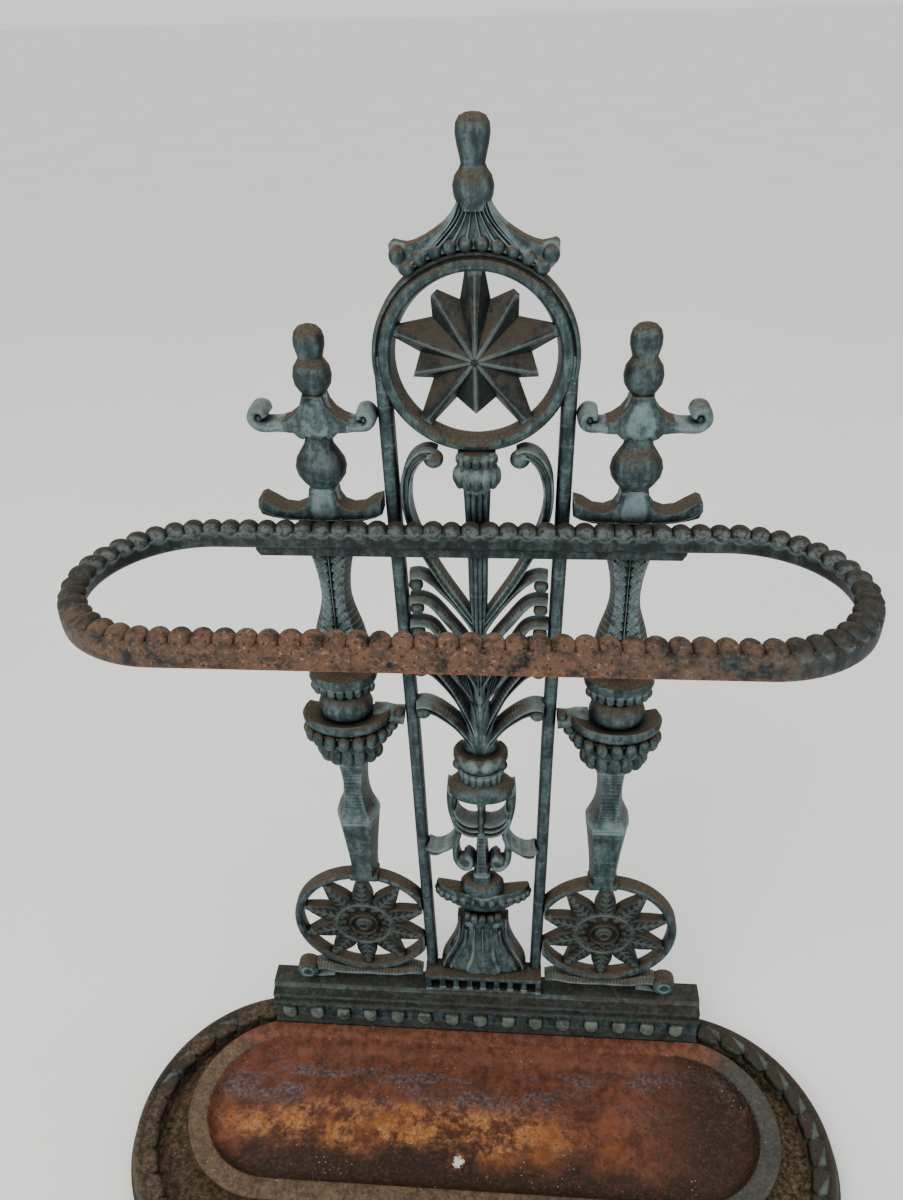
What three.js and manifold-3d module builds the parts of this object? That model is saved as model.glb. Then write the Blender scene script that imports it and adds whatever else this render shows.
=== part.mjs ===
// Cast-iron umbrella and stick stand: pierced back panel, oval holder hoop, oval base tray and lift-out drip pan.
// Units are millimetres. +X is to the right seen from the front, +Y to the back, +Z up.
// The origin is on the floor, under the centre of the base tray.

import * as THREE from 'three';
import * as BufferGeometryUtils from 'three/addons/utils/BufferGeometryUtils.js';
import Module from 'manifold-3d';

const wasm = await Module();
wasm.setup();

// ---------------------------------------------------------------- driving dimensions

const joint = 0.3;              // clearance between castings that touch

// Base tray, a stadium in plan
const trayStraight = 147.3;     // half length of its straight sides
const trayRadius = 106.7;       // outer radius of its ends
const trayHeight = 26;
const traySkirt = 5;            // wall of the skirt that stands on the floor
const trayRim = 19;             // width of the raised rim
const trayFloorUnder = 4;       // underside of the floor plate
const trayFloorTop = 8;
const plinthPadTop = 14;        // top of the raised pad that carries the plinth

// Drip pan, a stadium in plan
const panStraight = 147;
const panBasinRadius = 54.5;
const panFlange = 14;           // width of the flat flange round the basin
const panWall = 2.5;
const panFlangeTop = 22;
const panTaper = 11;            // how far the basin wall leans in on the way down
const panToPlinth = 1.5;        // working clearance behind the lift-out pan

// Back panel, measured from its front plane
const panelInset = 9.7;         // from the tray's back edge forward to the panel's front plane
const panelDepth = 8;           // front plane to flat back
const relief = 5;               // how far centre ornament stands out of the front plane

// Plinth and pedestal block
const plinthHalf = 166.8;
const plinthHeight = 42.5;
const plinthFront = 18;         // how far the plinth stands out of the front plane
const blockHalf = 44;
const blockHeight = 18.5;
const blockFront = 8;
const slotCount = 8;
const slotWidth = 5;
const slotDepth = 3;

// Centre stack, upwards from the pedestal block
const pedestalHeight = 97;
const urnHeight = 123;
const palmetteHeight = 146;
const torchHeight = 63.5;
const urnHalf = 23.3;
const cupHalf = 34;
const torchHalf = 12.4;

// Ring, star and finial
const ringInner = 44.3;
const ringOuter = 51;
const archBand = 2.4;           // width of the arch that runs over the ring
const starPoints = 10;
const finialHeight = 61;        // from the top of the arch to the tip
const fanHalf = 39.3;

// Upright bars
const barWidth = 9;
const barFootHalf = 44;         // outer edge of a bar at the pedestal block, from the centre line

// Columns beside the bars, and the rosettes they stand on
const columnX = 86;
const columnAxisBack = 2;       // column axis behind the front plane
const rosetteX = 90;
const rosetteOuter = 53.7;
const rosetteRing = 7.5;
const rosetteHub = 18;
const rosettePetals = 10;
const rosetteDepth = 9;
const balusterHeight = 107;
const lowerPlateHeight = 64;    // scalloped cups, squashed ball and collar
const stemHeight = 98;
const upperVaseHeight = 66;
const canopyHeight = 24;
const ballStackHeight = 41;
const canopyHalf = 34.5;
const plateHalf = 28;

// Plinth-top scrolls
const scrollX = 139;
const scrollRadius = 8;

// Holder hoop, a stadium in plan
const hoopStraight = 142;
const hoopOuter = 62.5;
const hoopBand = 14;
const hoopFoot = 453.5;         // bottom edge of its outer face above the floor
const hoopFace = 12.5;          // height of its plain outer face
const hoopInnerFace = 9;
const hoopBead = 4.5;           // height of the beaded top
const hoopShift = -5;           // the hoop is bolted this far off the centre line
const lugHalf = 121.5;
const lugDrop = 7;
const lugThickness = 5;

// Fasteners
const screwRadius = 2;
const screwHeadRadius = 5;
const screwHeadHeight = 3;
const boltRadius = 3;
const boltHeadRadius = 5.8;
const boltHeadHeight = 2.2;
const washerRadius = 7;
const washerThickness = 1;
const boltX = 120;
const threadDepth = 12;

const around = 40;              // facets on a large circle
const small = 14;               // facets on a small one

// ---------------------------------------------------------------- finishes

function paint(color, roughness = 0.6, metalness = 0.3) {
  return new THREE.MeshStandardMaterial({ color, roughness, metalness });
}

const finish = {
  panel: paint(0x4a5c5e),
  hoop: paint(0x5a463c, 0.75),
  tray: paint(0x3a3f3a, 0.7),
  pan: paint(0x7a4a30, 0.85, 0.1),
  steel: paint(0x50504c, 0.5, 0.7),
};

// ---------------------------------------------------------------- solids

function solid(geometry) {
  const bare = geometry.clone();
  bare.deleteAttribute('normal');
  bare.deleteAttribute('uv');
  const merged = BufferGeometryUtils.mergeVertices(bare, 1e-4);
  return new wasm.Manifold(new wasm.Mesh({
    numProp: 3,
    vertProperties: new Float32Array(merged.attributes.position.array),
    triVerts: new Uint32Array(merged.index.array),
  }));
}

function join(...geometries) {
  return geometries.map(solid).reduce((sum, next) => sum.add(next));
}

function part(name, shape, material) {
  const mesh = shape.getMesh();
  const geometry = new THREE.BufferGeometry();
  geometry.setAttribute('position', new THREE.BufferAttribute(new Float32Array(mesh.vertProperties), 3));
  geometry.setIndex(new THREE.BufferAttribute(new Uint32Array(mesh.triVerts), 1));
  geometry.computeVertexNormals();
  const result = new THREE.Mesh(geometry, material);
  result.name = name;
  return result;
}

function mirrored(shape) {
  return shape.mirror([1, 0, 0]);
}

// A plate with its outline in X and Z, from yFront back to yBack, with chamfered edges.
function plate(outline, yFront, yBack, chamfer = 0) {
  const geometry = new THREE.ExtrudeGeometry(outline, {
    depth: yBack - yFront - 2 * chamfer,
    bevelEnabled: chamfer > 0,
    bevelThickness: chamfer,
    bevelSize: chamfer,
    bevelOffset: -chamfer,
    bevelSegments: 1,
    curveSegments: 6,
  });
  geometry.rotateX(Math.PI / 2);
  geometry.translate(0, yBack - chamfer, 0);
  return geometry;
}

function outline(points) {
  return new THREE.Shape(points.map(([x, z]) => new THREE.Vector2(x, z)));
}

function box(x0, x1, y0, y1, z0, z1) {
  const geometry = new THREE.BoxGeometry(x1 - x0, y1 - y0, z1 - z0);
  geometry.translate((x0 + x1) / 2, (y0 + y1) / 2, (z0 + z1) / 2);
  return geometry;
}

// A turned piece on a vertical axis; each profile point is [radius, height].
function turned(profile, x, y, z, facets = small) {
  const points = profile.map(([r, h]) => new THREE.Vector2(r, h));
  const geometry = new THREE.LatheGeometry(points, facets);
  geometry.rotateX(Math.PI / 2);
  geometry.translate(x, y, z);
  return geometry;
}

// A ring lying in the panel; each profile point is [radius, y], closing on itself.
function ringInPanel(profile, x, z, facets = around) {
  const points = [...profile, profile[0]].map(([r, y]) => new THREE.Vector2(r, y));
  const geometry = new THREE.LatheGeometry(points, facets);
  geometry.translate(x, 0, z);
  return geometry;
}

// A round bar along Y.
function roundBar(radius, x, y0, y1, z, facets = small) {
  const geometry = new THREE.CylinderGeometry(radius, radius, y1 - y0, facets);
  geometry.translate(x, (y0 + y1) / 2, z);
  return geometry;
}

// A curved strap in the panel through the given [x, z, width] stations.
function strap(stations, yFront, yBack, steps = 8) {
  const curve = new THREE.CatmullRomCurve3(stations.map(([x, z, w]) => new THREE.Vector3(x, z, w)));
  const left = [];
  const right = [];
  for (let i = 0; i <= steps; i += 1) {
    const at = curve.getPoint(i / steps);
    const along = curve.getTangent(i / steps);
    const length = Math.hypot(along.x, along.y);
    const sideX = -along.y / length * at.z / 2;
    const sideZ = along.x / length * at.z / 2;
    left.push([at.x + sideX, at.y + sideZ]);
    right.unshift([at.x - sideX, at.y - sideZ]);
  }
  return plate(outline([...left, ...right]), yFront, yBack, 0);
}

// A solid whose level cross-sections are stadiums; each level is [end radius, height].
function stadiumStack(straight, levels, yCentre = 0, facets = 20) {
  const positions = [];
  const index = [];
  const count = 2 * (facets + 1);
  for (const [radius, z] of levels) {
    for (let i = 0; i < count; i += 1) {
      const rightEnd = i <= facets;
      const angle = (rightEnd ? i : i - 1) / facets * Math.PI - Math.PI / 2;
      const x = (rightEnd ? straight : -straight) + radius * Math.cos(angle);
      positions.push(x, yCentre + radius * Math.sin(angle), z);
    }
  }
  for (let level = 0; level + 1 < levels.length; level += 1) {
    for (let i = 0; i < count; i += 1) {
      const a = level * count + i;
      const b = level * count + (i + 1) % count;
      index.push(a, b, a + count, b, b + count, a + count);
    }
  }
  const top = (levels.length - 1) * count;
  for (let i = 1; i + 1 < count; i += 1) {
    index.push(0, i + 1, i, top, top + i, top + i + 1);
  }
  const geometry = new THREE.BufferGeometry();
  geometry.setAttribute('position', new THREE.BufferAttribute(new Float32Array(positions), 3));
  geometry.setIndex(index);
  return geometry;
}

// ---------------------------------------------------------------- heights that follow

const panelFront = trayRadius - panelInset;
const archOuter = ringOuter + archBand;
const plinthFoot = plinthPadTop + joint;
const plinthTop = plinthFoot + plinthHeight;
const blockFoot = plinthTop + joint;
const blockTop = blockFoot + blockHeight;
const pedestalFoot = blockTop + joint;
const urnFoot = pedestalFoot + pedestalHeight + joint;
const palmetteFoot = urnFoot + urnHeight + joint;
const torchFoot = palmetteFoot + palmetteHeight + joint;
const ringZ = torchFoot + torchHeight + joint + ringOuter;
const archTop = ringZ + archOuter;

function barOuter(z) {
  return barFootHalf + (archOuter - barFootHalf) * (z - blockTop) / (ringZ - blockTop);
}

function barInner(z) {
  return barOuter(z) - barWidth;
}

const rosetteZ = plinthTop + 10 + rosetteOuter;
const rosetteTop = rosetteZ + rosetteOuter;
const columnFoot = rosetteTop + 8;
const plateFoot = columnFoot + balusterHeight;
const stemFoot = plateFoot + lowerPlateHeight;
const vaseFoot = stemFoot + stemHeight;
const canopyFoot = vaseFoot + upperVaseHeight;
const ballFoot = canopyFoot + canopyHeight;

// ---------------------------------------------------------------- back panel

// Keeps centre ornament clear of both bars and flush with the flat back.
function betweenBars(shape) {
  const right = solid(plate(outline([
    [barInner(blockTop) - joint, blockTop], [120, blockTop], [120, ringZ], [barInner(ringZ) - joint, ringZ],
  ]), -60, 60, 0));
  return shape.subtract(right).subtract(mirrored(right)).subtract(solid(box(-200, 200, panelDepth, 60, 0, 900)));
}

function crownFinial() {
  const foot = archTop + joint;
  const fanTop = foot + finialHeight * 0.36;
  const knob = turned([
    [0, 0], [9, 0], [7.6, 8], [10.2, 13], [9.2, 19], [6.2, 24], [8.4, 33], [7.6, 38], [0, finialHeight - 22],
  ], 0, columnAxisBack, fanTop - 1);
  const half = fanHalf;
  const dip = archOuter + joint;
  const underside = [];
  for (let i = 0; i <= 10; i += 1) {
    const x = half * (0.82 - 1.64 * i / 10);
    underside.push([x, ringZ + Math.sqrt(dip * dip - Math.min(x * x, dip * dip * 0.6)) + 0.5]);
  }
  const fan = plate(outline([
    [-half, foot - 3], [-half * 0.95, foot + 1], [-half * 0.72, foot - 1], [-half * 0.48, foot + 5],
    [-half * 0.25, foot + 14], [-8, fanTop], [8, fanTop], [half * 0.25, foot + 14], [half * 0.48, foot + 5],
    [half * 0.72, foot - 1], [half * 0.95, foot + 1], [half, foot - 3], ...underside,
  ]), -relief, panelDepth, 1.5);
  return join(fan, knob).subtract(solid(box(-200, 200, panelDepth, 60, 0, 900)));
}

function starMedallion() {
  const ring = ringInPanel([
    [ringInner, 1], [ringInner + 2, -1], [ringOuter - 2, -1], [ringOuter, 1], [ringOuter, panelDepth],
    [ringInner - 2, panelDepth],
  ], 0, ringZ);
  const archShape = new THREE.Shape();
  archShape.absarc(0, 0, archOuter, 0, Math.PI, false);
  archShape.absarc(0, 0, ringOuter - 1, Math.PI, 0, true);
  const arch = plate(archShape, 1, panelDepth, 0);
  arch.translate(0, 0, ringZ);
  const star = starBlock();
  star.translate(0, 0, ringZ);
  return join(ring, arch, star);
}

// A ten-pointed star with a ridge along every point, long and short points by turns.
function starBlock() {
  const apexY = -relief - 1;
  const rimY = 1;
  const backY = panelDepth - 2;
  const positions = [0, apexY, 0, 0, backY, 0];
  const index = [];
  const corners = 2 * starPoints;
  for (let i = 0; i < corners; i += 1) {
    const long = i % 4 === 0 ? ringInner + 1 : ringInner * 0.68;
    const radius = i % 2 === 0 ? long : ringInner * 0.52;
    const angle = Math.PI / 2 + i / corners * 2 * Math.PI;
    const x = radius * Math.cos(angle);
    const z = radius * Math.sin(angle);
    positions.push(x, i % 2 === 0 ? rimY : rimY + 2, z, x, backY, z);
  }
  for (let i = 0; i < corners; i += 1) {
    const front = 2 + 2 * i;
    const nextFront = 2 + 2 * ((i + 1) % corners);
    index.push(0, front, nextFront);
    index.push(1, nextFront + 1, front + 1);
    index.push(front, front + 1, nextFront + 1, front, nextFront + 1, nextFront);
  }
  const geometry = new THREE.BufferGeometry();
  geometry.setAttribute('position', new THREE.BufferAttribute(new Float32Array(positions), 3));
  geometry.setIndex(index);
  return geometry;
}

function uprightBar() {
  const foot = blockTop + joint;
  const bar = solid(plate(outline([
    [barInner(foot), foot], [barOuter(foot), foot], [barOuter(ringZ), ringZ], [barInner(ringZ), ringZ],
  ]), 0, panelDepth, 1.6));
  const ringSpace = roundBar(ringOuter + joint, 0, -20, 20, ringZ, around);
  return bar.subtract(solid(ringSpace));
}

function column() {
  const y = columnAxisBack;
  const baluster = turned([
    [0, 0], [10, 0], [14.4, 44], [13.6, 50], [8.4, 74], [12.2, 99], [10, balusterHeight + 1], [0, balusterHeight + 1],
  ], columnX, y, columnFoot, 8);
  const cups = turned([
    [0, 0], [13, 2], [16, 16], [23, 20], [plateHalf, 34], [17, 40], [17.5, 47], [14, 55], [21.5, lowerPlateHeight],
    [13, lowerPlateHeight + 6], [0, lowerPlateHeight + 6],
  ], columnX, y, plateFoot);
  const stem = turned([
    [0, 0], [15, 0], [13, 26], [8.5, 52], [12.7, 80], [11, stemHeight + 2], [0, stemHeight + 2],
  ], columnX, y, stemFoot);
  const vase = turned([
    [0, 0], [12, 6], [7.3, 20], [14.2, 36], [7.5, 52], [9, upperVaseHeight + 1], [0, upperVaseHeight + 1],
  ], columnX, y, vaseFoot);
  const balls = turned([
    [0, 0], [8, 0], [6.6, 3], [10.6, 12], [7, 21], [8.3, 29], [5, 37], [0, ballStackHeight],
  ], columnX, y, ballFoot - 2);
  const corniceZ = vaseFoot + 3;
  const inner = z => barOuter(z) + joint;
  const cornice = plate(outline([
    [inner(corniceZ), corniceZ], [columnX + 37, corniceZ], [columnX + 37, corniceZ + 12],
    [columnX + 20, corniceZ + 5], [columnX + 8, corniceZ + 10], [columnX - 8, corniceZ + 10],
    [columnX - 20, corniceZ + 5], [inner(corniceZ + 9), corniceZ + 9],
  ]), -relief, panelDepth, 1);
  const roofZ = canopyFoot;
  const curlZ = roofZ + 7;
  const innerX = inner(curlZ);
  const roof = plate(outline([
    [columnX - 24, roofZ + 1], [columnX, roofZ - 4], [columnX + 24, roofZ + 1], [columnX + canopyHalf - 6, roofZ + 6],
    [columnX + 14, roofZ + 12], [columnX + 6, roofZ + canopyHeight], [columnX - 6, roofZ + canopyHeight],
    [columnX - 14, roofZ + 12], [innerX + 5, roofZ + 8], [innerX + 5, roofZ + 3],
  ]), -relief, panelDepth, 1);
  const outerCurl = roundBar(6, columnX + canopyHalf - 6, -relief, panelDepth, curlZ, 10);
  const innerCurl = roundBar(5, innerX + 5, -relief, panelDepth, curlZ, 10);
  const lowArm = plateFoot + 28;
  const armPlate = plate(outline([
    [inner(lowArm), lowArm - 5], [columnX, lowArm - 7], [columnX, lowArm + 7], [inner(lowArm), lowArm + 5],
  ]), -2, panelDepth, 0);
  const shape = join(baluster, cups, stem, vase, balls, cornice, roof, outerCurl, innerCurl, armPlate);
  const flatBack = box(-400, 400, panelDepth, 60, 0, 900);
  const screwHole = roundBar(screwRadius + joint, columnX, -60, 60, screwZ);
  const headHole = roundBar(screwHeadRadius + joint, columnX, panelDepth - screwHeadHeight - joint, 60, screwZ);
  return [flatBack, screwHole, headHole, lugSpace()].reduce((rest, cut) => rest.subtract(solid(cut)), shape);
}

function rosette() {
  const front = 8 - rosetteDepth;
  const ring = ringInPanel([
    [rosetteOuter - rosetteRing, front + 2], [rosetteOuter - rosetteRing + 2, front], [rosetteOuter - 2, front],
    [rosetteOuter, front + 2], [rosetteOuter, panelDepth], [rosetteOuter - rosetteRing, panelDepth],
  ], rosetteX, rosetteZ);
  const hub = roundBar(rosetteHub, rosetteX, front, panelDepth - 1, rosetteZ, 20);
  const pieces = [ring, hub];
  for (let i = 0; i < rosettePetals; i += 1) {
    const petal = plate(outline([
      [-6.5, rosetteHub * 0.7], [6.5, rosetteHub * 0.7], [7.5, rosetteHub + 6], [0, rosetteOuter - rosetteRing + 1.5],
      [-7.5, rosetteHub + 6],
    ]), front + 2, panelDepth - 2, 0);
    petal.rotateY(i / rosettePetals * 2 * Math.PI);
    petal.translate(rosetteX, 0, rosetteZ);
    pieces.push(petal);
  }
  const neck = box(columnX - 10, columnX + 10, front + 1, panelDepth, rosetteTop - 3, columnFoot - joint);
  const saddleHalf = 30;
  const saddle = plate(outline([
    [rosetteX - saddleHalf, plinthTop + joint], [rosetteX + saddleHalf, plinthTop + joint],
    [rosetteX + 15, rosetteZ - rosetteOuter + 4], [rosetteX - 15, rosetteZ - rosetteOuter + 4],
  ]), front + 2, panelDepth, 0);
  pieces.push(neck, saddle);
  const barSpace = plate(outline([
    [0, blockFoot], [barOuter(blockFoot) + joint, blockFoot], [barOuter(ringZ) + joint, ringZ], [0, ringZ],
  ]), -30, 30, 0);
  return join(...pieces).subtract(solid(barSpace));
}

function plinthScroll() {
  const z = plinthTop + joint + scrollRadius;
  const curl = roundBar(scrollRadius, scrollX, -4, panelDepth, z, 16);
  const leaf = strap([
    [scrollX - 4, z - 3, 9], [scrollX - 12, z - 2.6, 8.6], [rosetteX + 33, z - 3, 8.8],
  ], -3, panelDepth);
  const floor = box(0, 300, -40, 40, plinthTop - 20, plinthTop + joint);
  const ringSpace = roundBar(rosetteOuter + joint, rosetteX, -30, 30, rosetteZ, around);
  return join(curl, leaf).subtract(solid(floor)).subtract(solid(ringSpace));
}

function torch() {
  const y = columnAxisBack;
  const top = torchFoot + torchHeight;
  const shaft = turned([
    [0, 0], [6, 0], [7.2, torchHeight - 24], [torchHalf, torchHeight - 12], [10.5, torchHeight - 7],
    [11, torchHeight - 2], [0, torchHeight],
  ], 0, y, torchFoot);
  const pieces = [shaft];
  for (const side of [-1, 1]) {
    const reach = z => barInner(z) - joint;
    const scroll = strap([
      [side * 22, top - 4, 6], [side * 31, top - 3, 5], [side * (reach(top - 16) - 3), top - 16, 6],
      [side * (reach(top - 28) - 3.4), top - 28, 6.4], [side * 34, torchFoot + 20, 6], [side * 25, torchFoot, 5.4],
    ], -2, panelDepth - 1, 12);
    const bead = roundBar(4.6, side * 22, -relief + 1, panelDepth - 1, top - 5, 10);
    pieces.push(scroll, bead);
  }
  const ringSpace = roundBar(ringOuter + joint, 0, -30, 30, ringZ, around);
  const below = box(-200, 200, -40, 40, torchFoot - 30, torchFoot);
  const web = box(-33, 33, 2, panelDepth - 1, top - 7, top - 3);
  return betweenBars(join(...pieces, web)).subtract(solid(ringSpace)).subtract(solid(below));
}

function palmette() {
  const foot = palmetteFoot;
  const top = palmetteFoot + palmetteHeight;
  const pieces = [
    plate(outline([[-4, foot], [4, foot], [6.2, top], [-6.2, top]]), -relief, panelDepth - 1, 0),
    plate(outline([[-9, foot], [9, foot], [17, foot + 60], [0, foot + 110], [-17, foot + 60]]), -2, panelDepth - 2, 0),
  ];
  const leafTips = [palmetteHeight - 15, palmetteHeight - 31, palmetteHeight - 49, palmetteHeight - 108];
  for (const side of [-1, 1]) {
    for (const tip of leafTips) {
      const z = foot + tip;
      const reach = barInner(z) - joint;
      pieces.push(strap([
        [side * 4, foot + Math.max(tip - 75, 8), 7], [side * 16, z - 20, 8.5], [side * 28, z - 3, 8.5],
        [side * reach, z, 8],
      ], -2, panelDepth - 1));
    }
    pieces.push(strap([[side * 25, top, 5.4], [side * 13, top - 24, 6], [side * 2, top - 50, 6]], -2, panelDepth - 1));
  }
  const above = box(-200, 200, -40, 40, top, top + 40);
  return betweenBars(join(...pieces)).subtract(solid(above));
}

function urn() {
  const foot = urnFoot;
  const top = urnFoot + urnHeight;
  const body = turned([
    [0, urnHeight - 78], [6, urnHeight - 76], [17, urnHeight - 56], [urnHalf, urnHeight - 32],
    [18, urnHeight - 20], [13, urnHeight - 16], [18, urnHeight - 6], [17, urnHeight], [0, urnHeight],
  ], 0, columnAxisBack, foot, 16);
  const stem = plate(outline([[-5, foot], [5, foot], [4, top - 60], [-4, top - 60]]), -relief, panelDepth - 1, 0);
  const pieces = [body, stem];
  for (const side of [-1, 1]) {
    const z = top - 90;
    const reach = barInner(z) - joint;
    pieces.push(strap([
      [side * 14, top - 66, 7], [side * 20, top - 80, 6], [side * 30, top - 95, 7], [side * reach, z + 6, 8],
    ], -2, panelDepth - 1));
    pieces.push(strap([
      [side * 20, top - 80, 6], [side * 16, top - 94, 6], [side * 12, top - 108, 6], [side * 3, top - 110, 6],
    ], -2, panelDepth - 1));
  }
  const eye = solid(roundBar(4, 9.5, -60, 60, top - 50, 10));
  return betweenBars(join(...pieces)).subtract(eye).subtract(mirrored(eye));
}

function pedestal() {
  const foot = pedestalFoot;
  const bowl = turned([
    [0, 0], [27, 0], [24, 12], [15.5, 34], [14.5, 52], [22, 62], [15.5, 80], [16.2, 92], [6, pedestalHeight],
    [0, pedestalHeight],
  ], 0, columnAxisBack, foot, 20);
  const cupTop = foot + 92;
  const reach = Math.min(cupHalf, barInner(cupTop) - joint);
  const cup = plate(outline([
    [-reach, cupTop], [-reach, cupTop - 13], [-18, cupTop - 26], [0, cupTop - 37], [18, cupTop - 26],
    [reach, cupTop - 13], [reach, cupTop],
  ]), -relief, panelDepth - 1, 0);
  return betweenBars(join(bowl, cup)).subtract(solid(box(-200, 200, -60, -blockFront, 0, 900)));
}

function pedestalBlock() {
  const body = solid(box(-blockHalf - 2, blockHalf + 2, -blockFront, panelDepth - 2, blockFoot, blockTop));
  const slots = [];
  for (let i = 0; i < slotCount; i += 1) {
    const x = (i - (slotCount - 1) / 2) * (2 * blockHalf - 4) / slotCount;
    slots.push(solid(box(x - slotWidth / 2, x + slotWidth / 2, -blockFront - 1, -blockFront + slotDepth,
      blockFoot + 3, blockTop - 3)));
  }
  return slots.reduce((shape, slot) => shape.subtract(slot), body);
}

function plinth() {
  const profile = new THREE.Shape([
    [-plinthFront, plinthFoot], [-plinthFront, plinthFoot + 8], [-plinthFront + 4, plinthFoot + 11],
    [-plinthFront + 4, plinthTop - 14], [-plinthFront + 1, plinthTop - 10], [-plinthFront + 1, plinthTop - 4],
    [-plinthFront + 7, plinthTop], [panelDepth, plinthTop], [panelDepth, plinthFoot],
  ].map(([y, z]) => new THREE.Vector2(y, z)));
  const geometry = new THREE.ExtrudeGeometry(profile, { depth: 2 * plinthHalf, bevelEnabled: false });
  geometry.rotateX(Math.PI / 2);
  geometry.rotateZ(Math.PI / 2);
  geometry.translate(-plinthHalf, 0, 0);
  let shape = solid(geometry);
  for (const side of [-1, 1]) {
    const hole = new THREE.CylinderGeometry(boltRadius + joint, boltRadius + joint, 2 * threadDepth, small);
    hole.rotateX(Math.PI / 2);
    hole.translate(side * boltX, -4, plinthFoot);
    shape = shape.subtract(solid(hole));
  }
  return shape;
}

// ---------------------------------------------------------------- holder hoop

const lugBack = -joint - relief - 1;
const lugTop = hoopFoot + 3;
const screwZ = hoopFoot - lugDrop / 2;
const hoopY = lugBack - hoopOuter;

function lugSpace() {
  return box(-300, 300, lugBack - 40, lugBack + joint, hoopFoot - lugDrop - 1, hoopFoot + hoopFace + hoopBead + 1);
}

function holderHoop() {
  const faceTop = hoopFoot + hoopFace;
  const inner = hoopOuter - hoopBand;
  const outerSolid = solid(stadiumStack(hoopStraight, [
    [hoopOuter, hoopFoot], [hoopOuter, faceTop], [hoopOuter - 1.5, faceTop + hoopBead - 2],
    [hoopOuter - 3, faceTop + hoopBead],
  ], hoopY));
  const innerSolid = solid(stadiumStack(hoopStraight, [
    [inner + 3, hoopFoot - 1], [inner + 3, hoopFoot], [inner, faceTop - hoopInnerFace], [inner, faceTop],
    [inner + 1.5, faceTop + hoopBead - 2], [inner + 3, faceTop + hoopBead], [inner + 3, faceTop + hoopBead + 1],
  ], hoopY));
  const lug = solid(plate(outline([
    [-lugHalf + 3, hoopFoot - lugDrop], [lugHalf - 3, hoopFoot - lugDrop], [lugHalf, lugTop], [-lugHalf, lugTop],
  ]), lugBack - lugThickness, lugBack, 0));
  let shape = outerSolid.subtract(innerSolid).add(lug);
  for (const side of [-1, 1]) {
    const tapped = roundBar(screwRadius + joint, side * columnX - hoopShift,
      lugBack - lugThickness + 1.5, lugBack + 1, screwZ);
    shape = shape.subtract(solid(tapped));
  }
  return shape.translate([hoopShift, 0, 0]);
}

function holderScrew() {
  const shank = roundBar(screwRadius, columnX, lugBack - lugThickness + 2, panelDepth - 1, screwZ);
  const head = roundBar(screwHeadRadius, columnX, panelDepth - screwHeadHeight, panelDepth, screwZ);
  return join(shank, head);
}

// ---------------------------------------------------------------- base tray, bolts and drip pan

function baseTray() {
  const rimInner = trayRadius - trayRim;
  const outerSolid = solid(stadiumStack(trayStraight, [
    [trayRadius - 1, 0], [trayRadius, 2], [trayRadius, trayHeight - 14], [trayRadius - 3, trayHeight - 6],
    [trayRadius - 8, trayHeight],
  ]));
  const well = solid(stadiumStack(trayStraight, [
    [rimInner, trayFloorTop], [rimInner + 1, trayHeight - 10], [rimInner + 6, trayHeight], [rimInner + 6, trayHeight + 5],
  ]));
  const under = solid(stadiumStack(trayStraight, [
    [trayRadius - traySkirt, -5], [trayRadius - traySkirt, trayFloorUnder],
  ]));
  const padFront = panelFront - plinthFront + 1;
  const pad = box(-plinthHalf + 1, plinthHalf - 1, padFront, panelFront + panelDepth - 1, trayFloorUnder, plinthPadTop);
  const rearSpace = box(-plinthHalf - joint, plinthHalf + joint, padFront - 1 - joint, panelFront + 60,
    plinthPadTop, trayHeight + 5);
  let shape = outerSolid.subtract(well).subtract(under).add(solid(pad)).subtract(solid(rearSpace));
  for (const side of [-1, 1]) {
    const hole = new THREE.CylinderGeometry(boltRadius + joint, boltRadius + joint, 80, small);
    hole.rotateX(Math.PI / 2);
    hole.translate(side * boltX, panelFront - 4, 0);
    shape = shape.subtract(solid(hole));
  }
  return shape;
}

function uprightRod(radius, z0, z1, facets = small) {
  const geometry = new THREE.CylinderGeometry(radius, radius, z1 - z0, facets);
  geometry.rotateX(Math.PI / 2);
  geometry.translate(boltX, panelFront - 4, (z0 + z1) / 2);
  return geometry;
}

const washerTop = trayFloorUnder - joint;
const headTop = washerTop - washerThickness - joint;

function baseWasher() {
  return solid(uprightRod(washerRadius, washerTop - washerThickness, washerTop, 20))
    .subtract(solid(uprightRod(boltRadius + joint, washerTop - 5, washerTop + 5)));
}

function baseBolt() {
  const head = uprightRod(boltHeadRadius, headTop - boltHeadHeight, headTop, 6);
  const shank = uprightRod(boltRadius, headTop - 1, plinthFoot + threadDepth - 1);
  return join(head, shank);
}

function dripPan() {
  const y = panelFront - plinthFront - 12 - panBasinRadius;
  const flangeUnder = panFlangeTop - panWall;
  const floorUnder = trayFloorTop + joint;
  const flange = solid(stadiumStack(panStraight, [
    [panBasinRadius + panFlange, flangeUnder], [panBasinRadius + panFlange, panFlangeTop],
  ], y));
  const bowl = solid(stadiumStack(panStraight, [
    [panBasinRadius + panWall - panTaper, floorUnder], [panBasinRadius + panWall - 3, floorUnder + 5],
    [panBasinRadius + panWall, flangeUnder + 0.5],
  ], y));
  const basin = solid(stadiumStack(panStraight, [
    [panBasinRadius - panTaper, floorUnder + panWall], [panBasinRadius - 3, floorUnder + panWall + 4],
    [panBasinRadius, panFlangeTop], [panBasinRadius, panFlangeTop + 1],
  ], y));
  const plinthSpace = box(-400, 400, panelFront - plinthFront - panToPlinth, panelFront + 60, -10, 90);
  return flange.add(bowl).subtract(basin).subtract(solid(plinthSpace));
}

// ---------------------------------------------------------------- assembly

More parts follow.
